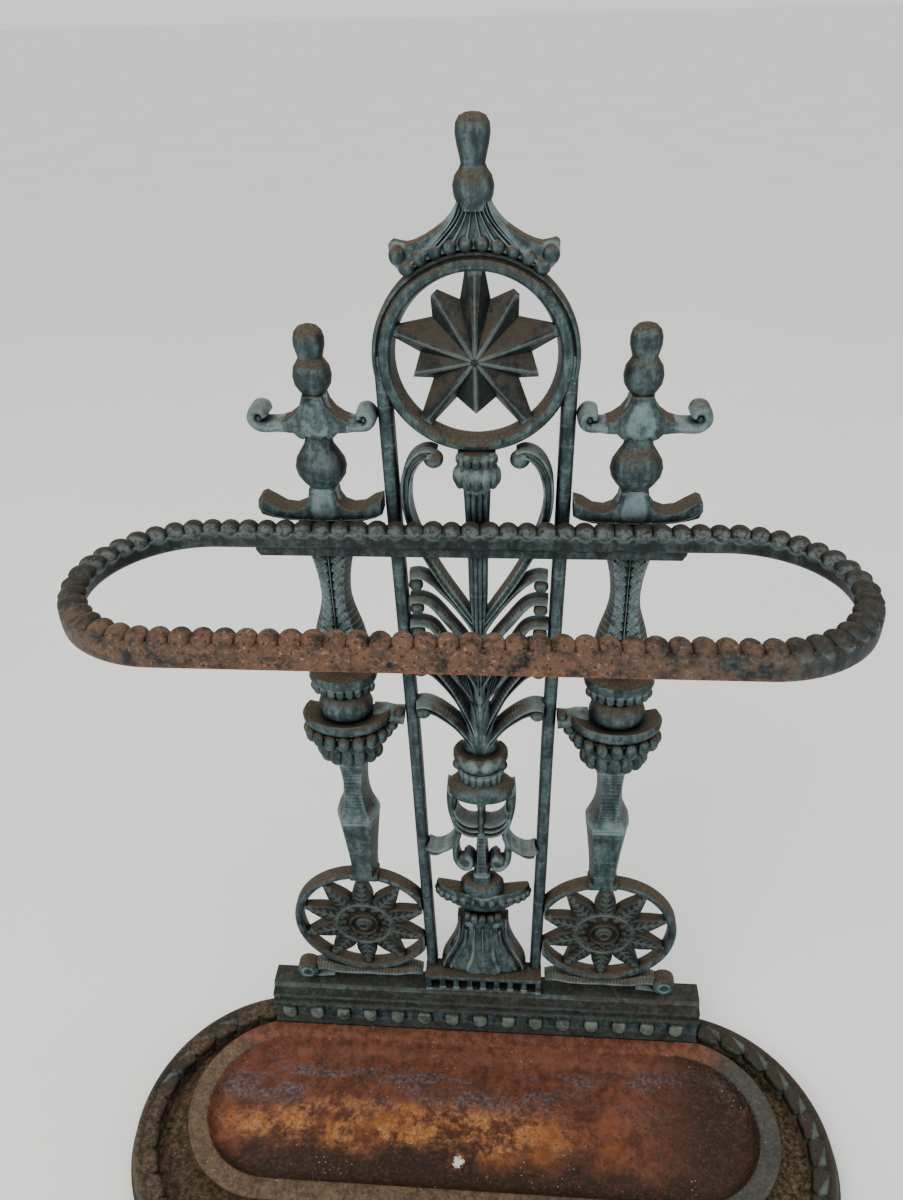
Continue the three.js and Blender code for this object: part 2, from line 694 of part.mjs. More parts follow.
const panel = new THREE.Group();
panel.position.y = panelFront;
panel.add(
  part('crown_finial', crownFinial(), finish.panel),
  part('star_medallion', starMedallion(), finish.panel),
  part('torch', torch(), finish.panel),
  part('palmette', palmette(), finish.panel),
  part('urn', urn(), finish.panel),
  part('pedestal', pedestal(), finish.panel),
  part('pedestal_block', pedestalBlock(), finish.panel),
  part('plinth', plinth(), finish.panel),
  part('holder_hoop', holderHoop(), finish.hoop),
);

const paired = [
  ['bar', uprightBar(), finish.panel],
  ['column', column(), finish.panel],
  ['rosette', rosette(), finish.panel],
  ['plinth_scroll', plinthScroll(), finish.panel],
  ['holder_screw', holderScrew(), finish.steel],
];
for (const [name, shape, material] of paired) {
  panel.add(part(`right_${name}`, shape, material), part(`left_${name}`, mirrored(shape), material));
}

const base = new THREE.Group();
base.add(
  part('base_tray', baseTray(), finish.tray),
  part('drip_pan', dripPan(), finish.pan),
);
for (const [name, shape] of [['base_washer', baseWasher()], ['base_bolt', baseBolt()]]) {
  base.add(part(`right_${name}`, shape, finish.steel), part(`left_${name}`, mirrored(shape), finish.steel));
}

const group = new THREE.Group();
group.add(panel, base);

export default group;
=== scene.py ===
# Old cast-iron umbrella stand: pierced ornamental back, beaded oval hoop, gadrooned oval tray and a rusty lift-out pan.
import math
import random

import bmesh
import bpy
from mathutils import Matrix, Vector


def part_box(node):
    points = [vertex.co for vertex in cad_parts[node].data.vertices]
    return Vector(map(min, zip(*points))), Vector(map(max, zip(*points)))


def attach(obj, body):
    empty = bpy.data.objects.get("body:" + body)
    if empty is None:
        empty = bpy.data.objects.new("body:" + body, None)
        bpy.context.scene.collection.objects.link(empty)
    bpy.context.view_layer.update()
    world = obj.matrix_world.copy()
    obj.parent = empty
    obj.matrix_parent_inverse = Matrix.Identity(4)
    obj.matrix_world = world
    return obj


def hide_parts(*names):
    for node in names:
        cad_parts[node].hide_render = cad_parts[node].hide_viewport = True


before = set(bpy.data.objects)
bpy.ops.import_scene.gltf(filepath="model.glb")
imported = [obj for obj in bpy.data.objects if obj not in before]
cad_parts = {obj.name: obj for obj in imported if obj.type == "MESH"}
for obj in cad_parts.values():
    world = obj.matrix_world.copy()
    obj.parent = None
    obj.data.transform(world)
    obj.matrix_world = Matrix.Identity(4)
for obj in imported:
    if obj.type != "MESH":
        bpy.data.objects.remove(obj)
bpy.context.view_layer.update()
random.seed(11)
mm = 0.001

plinthLow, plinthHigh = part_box("plinth")
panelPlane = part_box("right_bar")[0].y / mm  # front plane of the back panel
flatBack = (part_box("right_bar")[1].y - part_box("right_bar")[0].y) / mm  # its flat back, behind that plane
toPanel = Matrix.Translation((0, panelPlane * mm, 0)) @ Matrix.Scale(mm, 4)
toFloor = Matrix.Scale(mm, 4)
mirrorX = Matrix.Scale(-1, 4, Vector((1, 0, 0)))


# ---- shaping helpers, all in millimetres

def addShape(target, shape, place=None, sides=(1,), weld=0.004):
    bmesh.ops.remove_doubles(shape, verts=shape.verts, dist=weld)
    if place is not None:
        bmesh.ops.transform(shape, matrix=place, verts=shape.verts)
    for side in sides:
        copy = shape.copy()
        if side < 0:
            bmesh.ops.transform(copy, matrix=mirrorX, verts=copy.verts)
        bmesh.ops.recalc_face_normals(copy, faces=copy.faces)
        scratch = bpy.data.meshes.new("scratch")
        copy.to_mesh(scratch)
        copy.free()
        target.from_mesh(scratch)
        bpy.data.meshes.remove(scratch)
    shape.free()


def closeHoles(shape):
    open_ = [edge for edge in shape.edges if edge.is_boundary]
    if open_:
        bmesh.ops.holes_fill(shape, edges=open_, sides=0)


def cutFlat(shape, at, outward):
    geom = shape.verts[:] + shape.edges[:] + shape.faces[:]
    bmesh.ops.bisect_plane(shape, geom=geom, dist=0.0005, plane_co=at, plane_no=outward, clear_outer=True)
    closeHoles(shape)


def smoothPath(stations, steps):
    ends = [stations[0]] + list(stations) + [stations[-1]]
    path = []
    for a, b, c, d in zip(ends, ends[1:], ends[2:], ends[3:]):
        for i in range(steps):
            t = i / steps
            path.append(tuple(
                0.5 * (2 * q + (r - p) * t + (2 * p - 5 * q + 4 * r - s) * t * t + (3 * q - p - 3 * r + s) * t ** 3)
                for p, q, r, s in zip(a, b, c, d)))
    path.append(tuple(stations[-1]))
    return path


# Cross-sections across a strap: sideways from -1 to 1, and from 0 at the flat back to 1 at the front.
sections = {
    "round": [(-1, 0), (-1, .55), (-.86, .8), (-.5, .95), (0, 1), (.5, .95), (.86, .8), (1, .55), (1, 0)],
    "ridge": [(-1, 0), (-1, .62), (-.5, .78), (-.12, .97), (.12, .97), (.5, .78), (1, .62), (1, 0)],
    "square": [(-1, 0), (-1, .9), (-.8, 1), (.8, 1), (1, .9), (1, 0)],
    "channel": [(-1, 0), (-1, .9), (-.8, 1), (-.55, .98), (-.25, .86), (.25, .86), (.55, .98), (.8, 1), (1, .9), (1,
                                                                                                                  0)],
    "facet": [(-1, 0), (-1, .42), (-.7, 1), (.7, 1), (1, .42), (1, 0)],
}


def strap(target, stations, section="round", back=None, steps=5, sides=(1,)):
    # stations are (x, z, width, front)
    back = flatBack if back is None else back
    path = smoothPath(stations, steps) if steps > 1 else list(stations)
    places = []
    for i, (x, z, width, front) in enumerate(path):
        before, after = path[max(i - 1, 0)], path[min(i + 1, len(path) - 1)]
        along = Vector((after[0] - before[0], 0, after[1] - before[1])).normalized()
        across = Vector((along.z, 0, -along.x))
        place = Matrix.Identity(4)
        for column, value in enumerate((across * width / 2, Vector((0, front - back, 0)), along, Vector((x, back, z)))):
            for row in range(3):
                place[row][column] = value[row]
        places.append(place)
    shape = bmesh.new()
    cap = shape.faces.new([shape.verts.new(places[0] @ Vector((u, v, 0))) for u, v in sections[section]])
    for old, new in zip(places, places[1:]):
        grown = bmesh.ops.extrude_face_region(shape, geom=[cap])["geom"]
        cap = next(item for item in grown if isinstance(item, bmesh.types.BMFace))
        bmesh.ops.transform(shape, matrix=new @ old.inverted(), verts=cap.verts)
    closeHoles(shape)
    addShape(target, shape, sides=sides)


def turned(target, profile, x=0.0, y=2.0, z=0.0, facets=24, squash=1.0, flutes=0, fluteDepth=0.0, cut=True,
           sides=(1,), phase=0.0):
    # profile is (radius, height)
    shape = bmesh.new()
    verts = [shape.verts.new((r * math.sin(phase), -r * math.cos(phase), h)) for r, h in profile]
    edges = [shape.edges.new(pair) for pair in zip(verts, verts[1:])]
    bmesh.ops.spin(shape, geom=verts + edges, cent=(0, 0, 0), axis=(0, 0, 1), angle=2 * math.pi, steps=facets,
                   use_merge=True)
    bmesh.ops.remove_doubles(shape, verts=shape.verts, dist=0.004)
    if flutes:
        for vert in shape.verts:
            angle = math.atan2(vert.co.y, vert.co.x)
            pinch = 1 - fluteDepth * (0.5 + 0.5 * math.cos(flutes * angle + math.pi)) ** 2
            vert.co.x *= pinch
            vert.co.y *= pinch
    closeHoles(shape)
    bmesh.ops.transform(shape, matrix=Matrix.Translation((x, y, z)) @ Matrix.Scale(squash, 4, Vector((0, 1, 0))),
                        verts=shape.verts)
    if cut:
        cutFlat(shape, (0, flatBack, 0), (0, 1, 0))
    addShape(target, shape, sides=sides)


def bead(target, at, size, turn=None, sides=(1,), fine=False):
    shape = bmesh.new()
    bmesh.ops.create_uvsphere(shape, u_segments=14 if fine else 10, v_segments=10 if fine else 7, radius=1)
    place = Matrix.Translation(at)
    if turn is not None:
        place = place @ turn
    place = place @ Matrix.Diagonal((size[0], size[1], size[2], 1))
    addShape(target, shape, place=place, sides=sides)


def plate(target, outline, front, back=None, bevel=0.8, sides=(1,), segments=2):
    # outline is (x, z) around the edge
    back = flatBack if back is None else back
    shape = bmesh.new()
    face = shape.faces.new([shape.verts.new((x, back, z)) for x, z in outline])
    grown = bmesh.ops.extrude_face_region(shape, geom=[face])["geom"]
    top = next(item for item in grown if isinstance(item, bmesh.types.BMFace))
    bmesh.ops.translate(shape, verts=top.verts, vec=(0, front - back, 0))
    closeHoles(shape)
    if bevel:
        bmesh.ops.bevel(shape, geom=list(top.edges), offset=bevel, affect='EDGES', segments=segments, profile=0.5,
                        material=-1, clamp_overlap=True)
    addShape(target, shape, sides=sides)


def block(target, low, high, bevel=0.6, sides=(1,)):
    shape = bmesh.new()
    bmesh.ops.create_cube(shape, size=1)
    middle = [(a + b) / 2 for a, b in zip(low, high)]
    size = [b - a for a, b in zip(low, high)]
    bmesh.ops.transform(shape, matrix=Matrix.Translation(middle) @ Matrix.Diagonal((*size, 1)), verts=shape.verts)
    if bevel:
        bmesh.ops.bevel(shape, geom=shape.edges[:], offset=bevel, affect='EDGES', segments=2, profile=0.5, material=-1,
                        clamp_overlap=True)
    addShape(target, shape, sides=sides)


def ringInPanel(target, profile, x, z, facets=72, sides=(1,), angle=2 * math.pi, start=0.0):
    # profile is (radius, y) and closes on itself
    shape = bmesh.new()
    verts = [shape.verts.new((x + r * math.cos(start), y, z + r * math.sin(start))) for r, y in profile]
    edges = [shape.edges.new(pair) for pair in zip(verts, verts[1:] + verts[:1])]
    full = angle > 6.28
    bmesh.ops.spin(shape, geom=verts + edges, cent=(x, 0, z), axis=(0, -1, 0), angle=angle, steps=facets,
                   use_merge=full)
    closeHoles(shape)
    addShape(target, shape, sides=sides)


def ovalSweep(target, profile, straight, y, steps=28, runs=24):
    # profile is (end radius, height) and closes on itself
    shape = bmesh.new()
    verts = [shape.verts.new((straight, y - r, h)) for r, h in profile]
    edges = [shape.edges.new(pair) for pair in zip(verts, verts[1:] + verts[:1])]
    geom = verts + edges
    for side in (1, -1):
        last = bmesh.ops.spin(shape, geom=geom, cent=(side * straight, y, 0), axis=(0, 0, 1), angle=math.pi,
                              steps=steps)["geom_last"]
        for _ in range(runs):
            edges = [item for item in last if isinstance(item, bmesh.types.BMEdge)]
            last = bmesh.ops.extrude_edge_only(shape, edges=edges)["geom"]
            bmesh.ops.translate(shape, verts=[item for item in last if isinstance(item, bmesh.types.BMVert)],
                                vec=(-side * 2 * straight / runs, 0, 0))
            last = [item for item in last if not isinstance(item, bmesh.types.BMFace)]
        geom = last
    addShape(target, shape, weld=0.01)


def ovalDisc(target, straight, radius, low, high, y, steps=28):
    shape = bmesh.new()
    verts = []
    for side in (1, -1):
        for i in range(steps + 1):
            angle = math.pi * i / steps - math.pi / 2
            verts.append(shape.verts.new((side * (straight + radius * math.cos(angle)),
                                          y + side * radius * math.sin(angle), low)))
    face = shape.faces.new(verts)
    grown = bmesh.ops.extrude_face_region(shape, geom=[face])["geom"]
    bmesh.ops.translate(shape, verts=[item for item in grown if isinstance(item, bmesh.types.BMVert)],
                        vec=(0, 0, high - low))
    closeHoles(shape)
    addShape(target, shape)


def alongOval(straight, radius, y, count, offset=0.5):
    # evenly spaced (x, y, outward angle) on a stadium
    total = 4 * straight + 2 * math.pi * radius
    spots = []
    for i in range(count):
        s = (i + offset) / count * total
        if s < 2 * straight:
            spots.append((s - straight, y - radius, -math.pi / 2))
            continue
        s -= 2 * straight
        if s < math.pi * radius:
            angle = s / radius - math.pi / 2
            spots.append((straight + radius * math.cos(angle), y + radius * math.sin(angle), angle))
            continue
        s -= math.pi * radius
        if s < 2 * straight:
            spots.append((straight - s, y + radius, math.pi / 2))
            continue
        angle = (s - 2 * straight) / radius + math.pi / 2
        spots.append((-straight + radius * math.cos(angle), y + radius * math.sin(angle), angle))
    return spots


def finishPiece(name, shape, material, place, nodes, body="stand", crease=40):
    bmesh.ops.transform(shape, matrix=place, verts=shape.verts)
    mesh = bpy.data.meshes.new(name)
    shape.to_mesh(mesh)
    shape.free()
    mesh.shade_smooth()
    mesh.set_sharp_from_angle(angle=math.radians(crease))
    piece = bpy.data.objects.new(name, mesh)
    bpy.context.scene.collection.objects.link(piece)
    piece.data.materials.append(material)
    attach(piece, body)
    if nodes:
        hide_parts(*nodes)
    print(name, len(mesh.polygons), "faces")
    return piece


# ---- materials

class Num:
    # a number socket that can be used in Python expressions
    def __init__(self, mat, socket):
        self.mat, self.socket = mat, socket

    def math(self, operation, a, b=None, clamp=False):
        values = {0: a} if b is None else {0: a, 1: b}
        node = self.mat.node("ShaderNodeMath", {"operation": operation, "use_clamp": clamp}, values)
        return Num(self.mat, node.outputs[0])

    def __add__(self, other):
        return self.math("ADD", self, other)

    __radd__ = __add__

    def __sub__(self, other):
        return self.math("SUBTRACT", self, other)

    def __rsub__(self, other):
        return self.math("SUBTRACT", other, self)

    def __mul__(self, other):
        return self.math("MULTIPLY", self, other)

    __rmul__ = __mul__

    def __truediv__(self, other):
        return self.math("DIVIDE", self, other)

    def __pow__(self, other):
        return self.math("POWER", self, other)

    def clamp(self):
        return self.math("ADD", self, 0.0, clamp=True)

    def step(self, low, high):
        # 0 at low and 1 at high, smoothly
        node = self.mat.node("ShaderNodeMapRange", {"interpolation_type": "SMOOTHSTEP", "clamp": True},
                             {"Value": self, "From Min": low, "From Max": high})
        return Num(self.mat, node.outputs[0])

    def largest(self, other):
        return self.math("MAXIMUM", self, other)


class Finish:
    def __init__(self, name, base):
        self.material = bpy.data.materials.new(name)
        self.material.use_nodes = True
        self.material.diffuse_color = (*base, 1)
        self.tree = self.material.node_tree
        self.shader = next(node for node in self.tree.nodes if node.type == "BSDF_PRINCIPLED")
        self.coords = self.node("ShaderNodeTexCoord").outputs["Object"]

    def node(self, kind, settings=None, values=None):
        made = self.tree.nodes.new(kind)
        for key, value in (settings or {}).items():
            if key == "ramp":
                while len(made.color_ramp.elements) < len(value):
                    made.color_ramp.elements.new(1.0)
                for element, (position, color) in zip(made.color_ramp.elements, value):
                    element.position = position
                    element.color = (*color, 1)
            else:
                setattr(made, key, value)
        for key, value in (values or {}).items():
            self.link(made.inputs[key], value)
        return made

    def link(self, socket, value):
        if isinstance(value, Num):
            value = value.socket
        if isinstance(value, bpy.types.NodeSocket):
            self.tree.links.new(value, socket)
        elif isinstance(value, tuple) and len(value) == 3 and socket.type == "RGBA":
            socket.default_value = (*value, 1)
        else:
            socket.default_value = value

    def noise(self, scale, detail=4.0, rough=0.6, stretch=None, distortion=0.0):
        vector = self.coords
        if stretch:
            vector = self.node("ShaderNodeMapping", None, {"Vector": vector, "Scale": stretch}).outputs[0]
        node = self.node("ShaderNodeTexNoise", None, {"Vector": vector, "Scale": scale, "Detail": detail,
                                                      "Roughness": rough, "Distortion": distortion})
        return Num(self, node.outputs[0])

    def cells(self, scale, randomness=1.0):
        node = self.node("ShaderNodeTexVoronoi", None, {"Vector": self.coords, "Scale": scale,
                                                        "Randomness": randomness})
        return Num(self, node.outputs["Distance"])

    def where(self):
        # the surface's place and the way it faces, as numbers
        place = self.node("ShaderNodeSeparateXYZ", None, {0: self.coords})
        geometry = self.node("ShaderNodeNewGeometry")
        facing = self.node("ShaderNodeSeparateXYZ", None, {0: geometry.outputs["Normal"]})
        return [Num(self, place.outputs[i]) for i in range(3)], [Num(self, facing.outputs[i]) for i in range(3)]

    def hollows(self, distance):
        node = self.node("ShaderNodeAmbientOcclusion", {"samples": 8, "only_local": False}, {"Distance": distance})
        return 1 - Num(self, node.outputs["AO"])

    def edges(self, distance):
        # near 1 beside a sharp outward edge, whatever the mesh
        node = self.node("ShaderNodeAmbientOcclusion", {"samples": 6, "inside": True, "only_local": True},
                         {"Distance": distance})
        return 1 - Num(self, node.outputs["AO"])

    def mix(self, factor, a, b, blend="MIX"):
        node = self.node("ShaderNodeMix", {"data_type": "RGBA", "blend_type": blend, "clamp_factor": True},
                         {"Factor": factor, 6: a, 7: b})
        return node.outputs[2]

    def finish(self, color, rough, bump, strength=0.5, distance=0.0006, metallic=None, settings=None):
        self.link(self.shader.inputs["Base Color"], color)
        self.link(self.shader.inputs["Roughness"], rough)
        if metallic is not None:
            self.link(self.shader.inputs["Metallic"], metallic)
        for key, value in (settings or {}).items():
            self.shader.inputs[key].default_value = value
        node = self.node("ShaderNodeBump", None, {"Height": bump, "Strength": strength, "Distance": distance})
        self.link(self.shader.inputs["Normal"], node.outputs[0])
        return self.material


def ironCoat(mat, tone, edge, dust, deep, dusty=1.0, wornAndLit=1.0, lean=0.0):
    # old painted cast iron: near black in the hollows (grime and painted shade), sides darkened (painted shade), pale
    # on edges and fronts (rubbed paint and painted highlight), dusty brown on top
    (x, y, z), (nx, ny, nz) = mat.where()
    large = mat.noise(24, 4, 0.6)
    patch = mat.noise(95, 5, 0.65)
    fine = mat.noise(800, 4, 0.7)
    grain = mat.noise(330, 5, 0.75)
    streak = mat.noise(240, 4, 0.65, stretch=(1, 1, 0.22))
    hollow = mat.hollows(0.014)
    # painted light: faces turned to the front get the lighter tone
    front = (0 - ny).step(0.25, 0.95)
    color = mat.mix((patch * 0.5 + streak * 0.5 + front * 0.22 + large * 0.25 + lean).step(0.55, 0.92), deep, tone)
    # pale on fronts and tops: painted highlight mixed with rubbed paint
    glow = (front * 0.22 + nz.step(0.0, 0.8) * 0.2 + streak * 0.55 + grain * 0.6 + patch * 0.45).step(0.96, 1.22)
    color = mat.mix(glow * 0.50 * wornAndLit, color, edge)
    # painted shade: faces turned to the sides are darkened towards the deep tone
    color = mat.mix(((nx * nx) ** 0.5).step(0.45, 0.95) * (patch + 0.3).step(0.4, 0.8) * 0.6, color, deep)
    above = (nz * 1.1 + (patch - 0.5) * 1.0 + (large - 0.5) * 1.6).step(0.15, 0.70) * dusty
    shade = mat.mix(fine.step(0.35, 0.7), tuple(c * 0.40 for c in dust), dust)
    color = mat.mix(above * 0.92, color, shade)
    # pale edges: rubbed paint and a painted edge highlight
    rim = mat.edges(0.0017)
    rubbedAndLitEdge = (rim + (grain - 0.5) * 0.5).step(0.34, 0.72) * (patch + 0.35).step(0.6, 0.95) * (1 - ny.step(0.6,
                                                                                                          0.95) * 0.7)
    color = mat.mix(rubbedAndLitEdge * 0.62 * wornAndLit, color, tuple(min(1.0, c * 1.35) for c in edge))
    # near black in the hollows: grime and painted shade
    grimeAndShade = (hollow * 1.15 + (patch - 0.5) * 0.4).step(0.30, 0.80)
    color = mat.mix(grimeAndShade * 0.93, color, deep)
    speck = mat.cells(520)
    chip = (1 - speck.step(0.08, 0.15)) * mat.noise(60, 3, 0.5).step(0.55, 0.66)
    color = mat.mix(chip * 0.55, color, (0.40, 0.41, 0.36))
    rough = 0.36 + fine * 0.22 + above * 0.3 + grimeAndShade * 0.1
    height = fine * 0.35 + grain * 0.8 + patch * 0.5
    return {"color": color, "rough": rough, "height": height, "x": x, "y": y, "z": z, "nx": nx, "ny": ny, "nz": nz,
            "patch": patch, "fine": fine, "grain": grain, "large": large, "hollow": hollow, "rim": rim}


def panelFinish(name, tone, edge, dust, deep):
    mat = Finish(name, tone)
    coat = ironCoat(mat, tone, edge, dust, deep)
    x, y, z, patch, grain = (coat[key] for key in ("x", "y", "z", "patch", "grain"))
    # the star and the two rosettes are darker and browner inside their rings
    around = ((x * x) ** 0.5 - 0.0899) ** 2.0 + (z - 0.1217) ** 2.0
    centre = x ** 2.0 + (z - 0.5574) ** 2.0
    inside = (1 - around.step(0.00195, 0.00215)).largest(1 - centre.step(0.00168, 0.00182))
    # pale ridge lines inside the rings: painted highlight and rubbed paint
    ridge = (coat["rim"] + (grain - 0.5) * 0.4).step(0.40, 0.75)
    sooty = mat.mix((patch * 0.6 + grain * 0.4 + coat["nz"] * 0.25).step(0.46, 0.70), (0.007, 0.009, 0.009),
                    (0.050, 0.039, 0.028))
    sooty = mat.mix(ridge * (0.32 + z.step(0.3, 0.4) * 0.5), sooty, (0.15, 0.18, 0.17))
    color = mat.mix(inside * 0.80, coat["color"], sooty)
    # the plinth: greener ledges, pale studs
    foot = 1 - z.step(0.0560, 0.0600)
    ledge = mat.mix((patch * 0.5 + grain * 0.5).step(0.42, 0.66), (0.009, 0.012, 0.011), (0.046, 0.056, 0.050))
    color = mat.mix(foot * coat["nz"].step(0.2, 0.8) * 0.8, color, ledge)
    stud = (1 - y.step(0.0805, 0.0828)) * z.step(0.0238, 0.0260) * (1 - z.step(0.0355, 0.0375))
    pale = mat.mix((patch * 0.6 + grain * 0.5).step(0.40, 0.66), (0.040, 0.050, 0.043), (0.200, 0.225, 0.190))
    coat["color"] = mat.mix(stud * 0.85, color, pale)
    return mat.finish(coat["color"], coat["rough"], coat["height"], strength=0.5, distance=0.0008,
                      settings={"Specular IOR Level": 0.16})


def rustySpots(mat, coat, dark, mid, light):
    # pitted rust with pale grains
    spots = mat.noise(420, 5, 0.75)
    color = mat.mix((coat["grain"] * 0.6 + coat["patch"] * 0.5).step(0.38, 0.66), dark, mid)
    color = mat.mix(spots.step(0.55, 0.70), color, light)
    pits = 1 - mat.cells(330).step(0.16, 0.34)
    return mat.mix(pits * spots.step(0.40, 0.52) * 0.75, color, tuple(c * 0.35 for c in dark))


def hoopFinish():
    mat = Finish("hoopPaint", (0.035, 0.045, 0.046))
    coat = ironCoat(mat, (0.021, 0.028, 0.030), (0.110, 0.140, 0.140), (0.052, 0.042, 0.029), (0.004, 0.005, 0.005),
                    dusty=0.75)
    x, y, z = coat["x"], coat["y"], coat["z"]
    drift = (coat["large"] - 0.5) * 0.05 + (coat["patch"] - 0.5) * 0.05
    along = (x * x) ** 0.5
    frontRun = (0 - y + drift * 0.5).step(0.012, 0.030) * (1 - (along + x * 0.28 + drift * 1.8).step(0.055, 0.150))
    brownRun = (0 - y + drift).step(-0.010, 0.026) * (1 - (along + x * 0.22 + drift).step(0.150, 0.205)) * 0.85
    scorch = mat.noise(38, 4, 0.6).step(0.56, 0.64) * (1 - (z + drift * 0.1).step(0.455, 0.462)) * 0.9
    brown = rustySpots(mat, coat, (0.045, 0.030, 0.020), (0.120, 0.074, 0.046), (0.235, 0.160, 0.105))
    rust = rustySpots(mat, coat, (0.050, 0.029, 0.020), (0.148, 0.079, 0.053), (0.335, 0.215, 0.160))
    color = mat.mix(brownRun * coat["patch"].step(0.34, 0.56), coat["color"], brown)
    color = mat.mix(frontRun * (coat["patch"] * 0.7 + coat["grain"] * 0.4 + 0.06).step(0.46, 0.66), color, rust)
    color = mat.mix(scorch * frontRun, color, (0.020, 0.019, 0.017))
    # painted highlight: pale line along the front-facing top edge of the back bar
    facing = (0 - coat["ny"]).step(0.15, 0.6) * y.step(0.02, 0.05) * z.step(0.4635,
                                                                            0.4660) * coat["grain"].step(0.36, 0.58)
    color = mat.mix(facing * 0.55, color, (0.155, 0.190, 0.190))
    lowEdge = (1 - z.step(0.4535, 0.4562)) * (0 - y).step(0.0, 0.02) * coat["grain"].step(0.38, 0.62)
    color = mat.mix(lowEdge * 0.9, color, (0.32, 0.105, 0.038))
    flecks = (1 - mat.cells(300).step(0.10, 0.2)) * coat["large"].step(0.50, 0.62)
    color = mat.mix(flecks * 0.7, color, (0.30, 0.13, 0.06))
    # painted shade: near black in the hollows
    color = mat.mix(coat["hollow"].step(0.34, 0.75) * 0.85, color, (0.010, 0.009, 0.008))
    return mat.finish(color, (coat["rough"] + frontRun * 0.35).clamp(), coat["height"], strength=0.75,
                      distance=0.0009, settings={"Specular IOR Level": 0.16})


def trayFinish():
    mat = Finish("trayPaint", (0.030, 0.038, 0.034))
    coat = ironCoat(mat, (0.019, 0.026, 0.024), (0.105, 0.135, 0.130), (0.060, 0.046, 0.030), (0.005, 0.006, 0.005),
                    dusty=0.9)
    x, y, z, nz = coat["x"], coat["y"], coat["z"], coat["nz"]
    crumbs = mat.noise(260, 6, 0.8)
    lumps = mat.cells(210)
    low = 1 - (z + (coat["patch"] - 0.5) * 0.010).step(0.0135, 0.0185)
    over = ((x * x) ** 0.5 - 0.1473).math("MAXIMUM", (x * x) ** 0.5 - 0.1473, 0.0)
    reach = (over * over + y * y) ** 0.5
    within = 1 - (reach + (coat["patch"] - 0.5) * 0.006).step(0.0870, 0.0890)
    soil = mat.mix(crumbs.step(0.40, 0.62), (0.030, 0.021, 0.013), (0.165, 0.115, 0.068))
    soil = mat.mix((1 - lumps.step(0.1, 0.3)) * crumbs.step(0.45, 0.6) * 0.8, soil, (0.26, 0.19, 0.12))
    color = mat.mix((low * within).clamp(), coat["color"], soil)
    left = (0 - x).step(0.10, 0.19)
    earthy = left * (coat["large"] + 0.1).step(0.48, 0.66) * nz.step(-0.2, 0.6)
    color = mat.mix(earthy * 0.75, color, mat.mix(coat["grain"].step(0.4, 0.65), (0.035, 0.022, 0.013), (0.15,
                                                                                                         0.098, 0.055)))
    height = coat["height"] + low * within * crumbs * 2.2
    return mat.finish(color, (coat["rough"] + low * 0.3).clamp(), height, strength=0.8, distance=0.0012,
                      settings={"Specular IOR Level": 0.2})


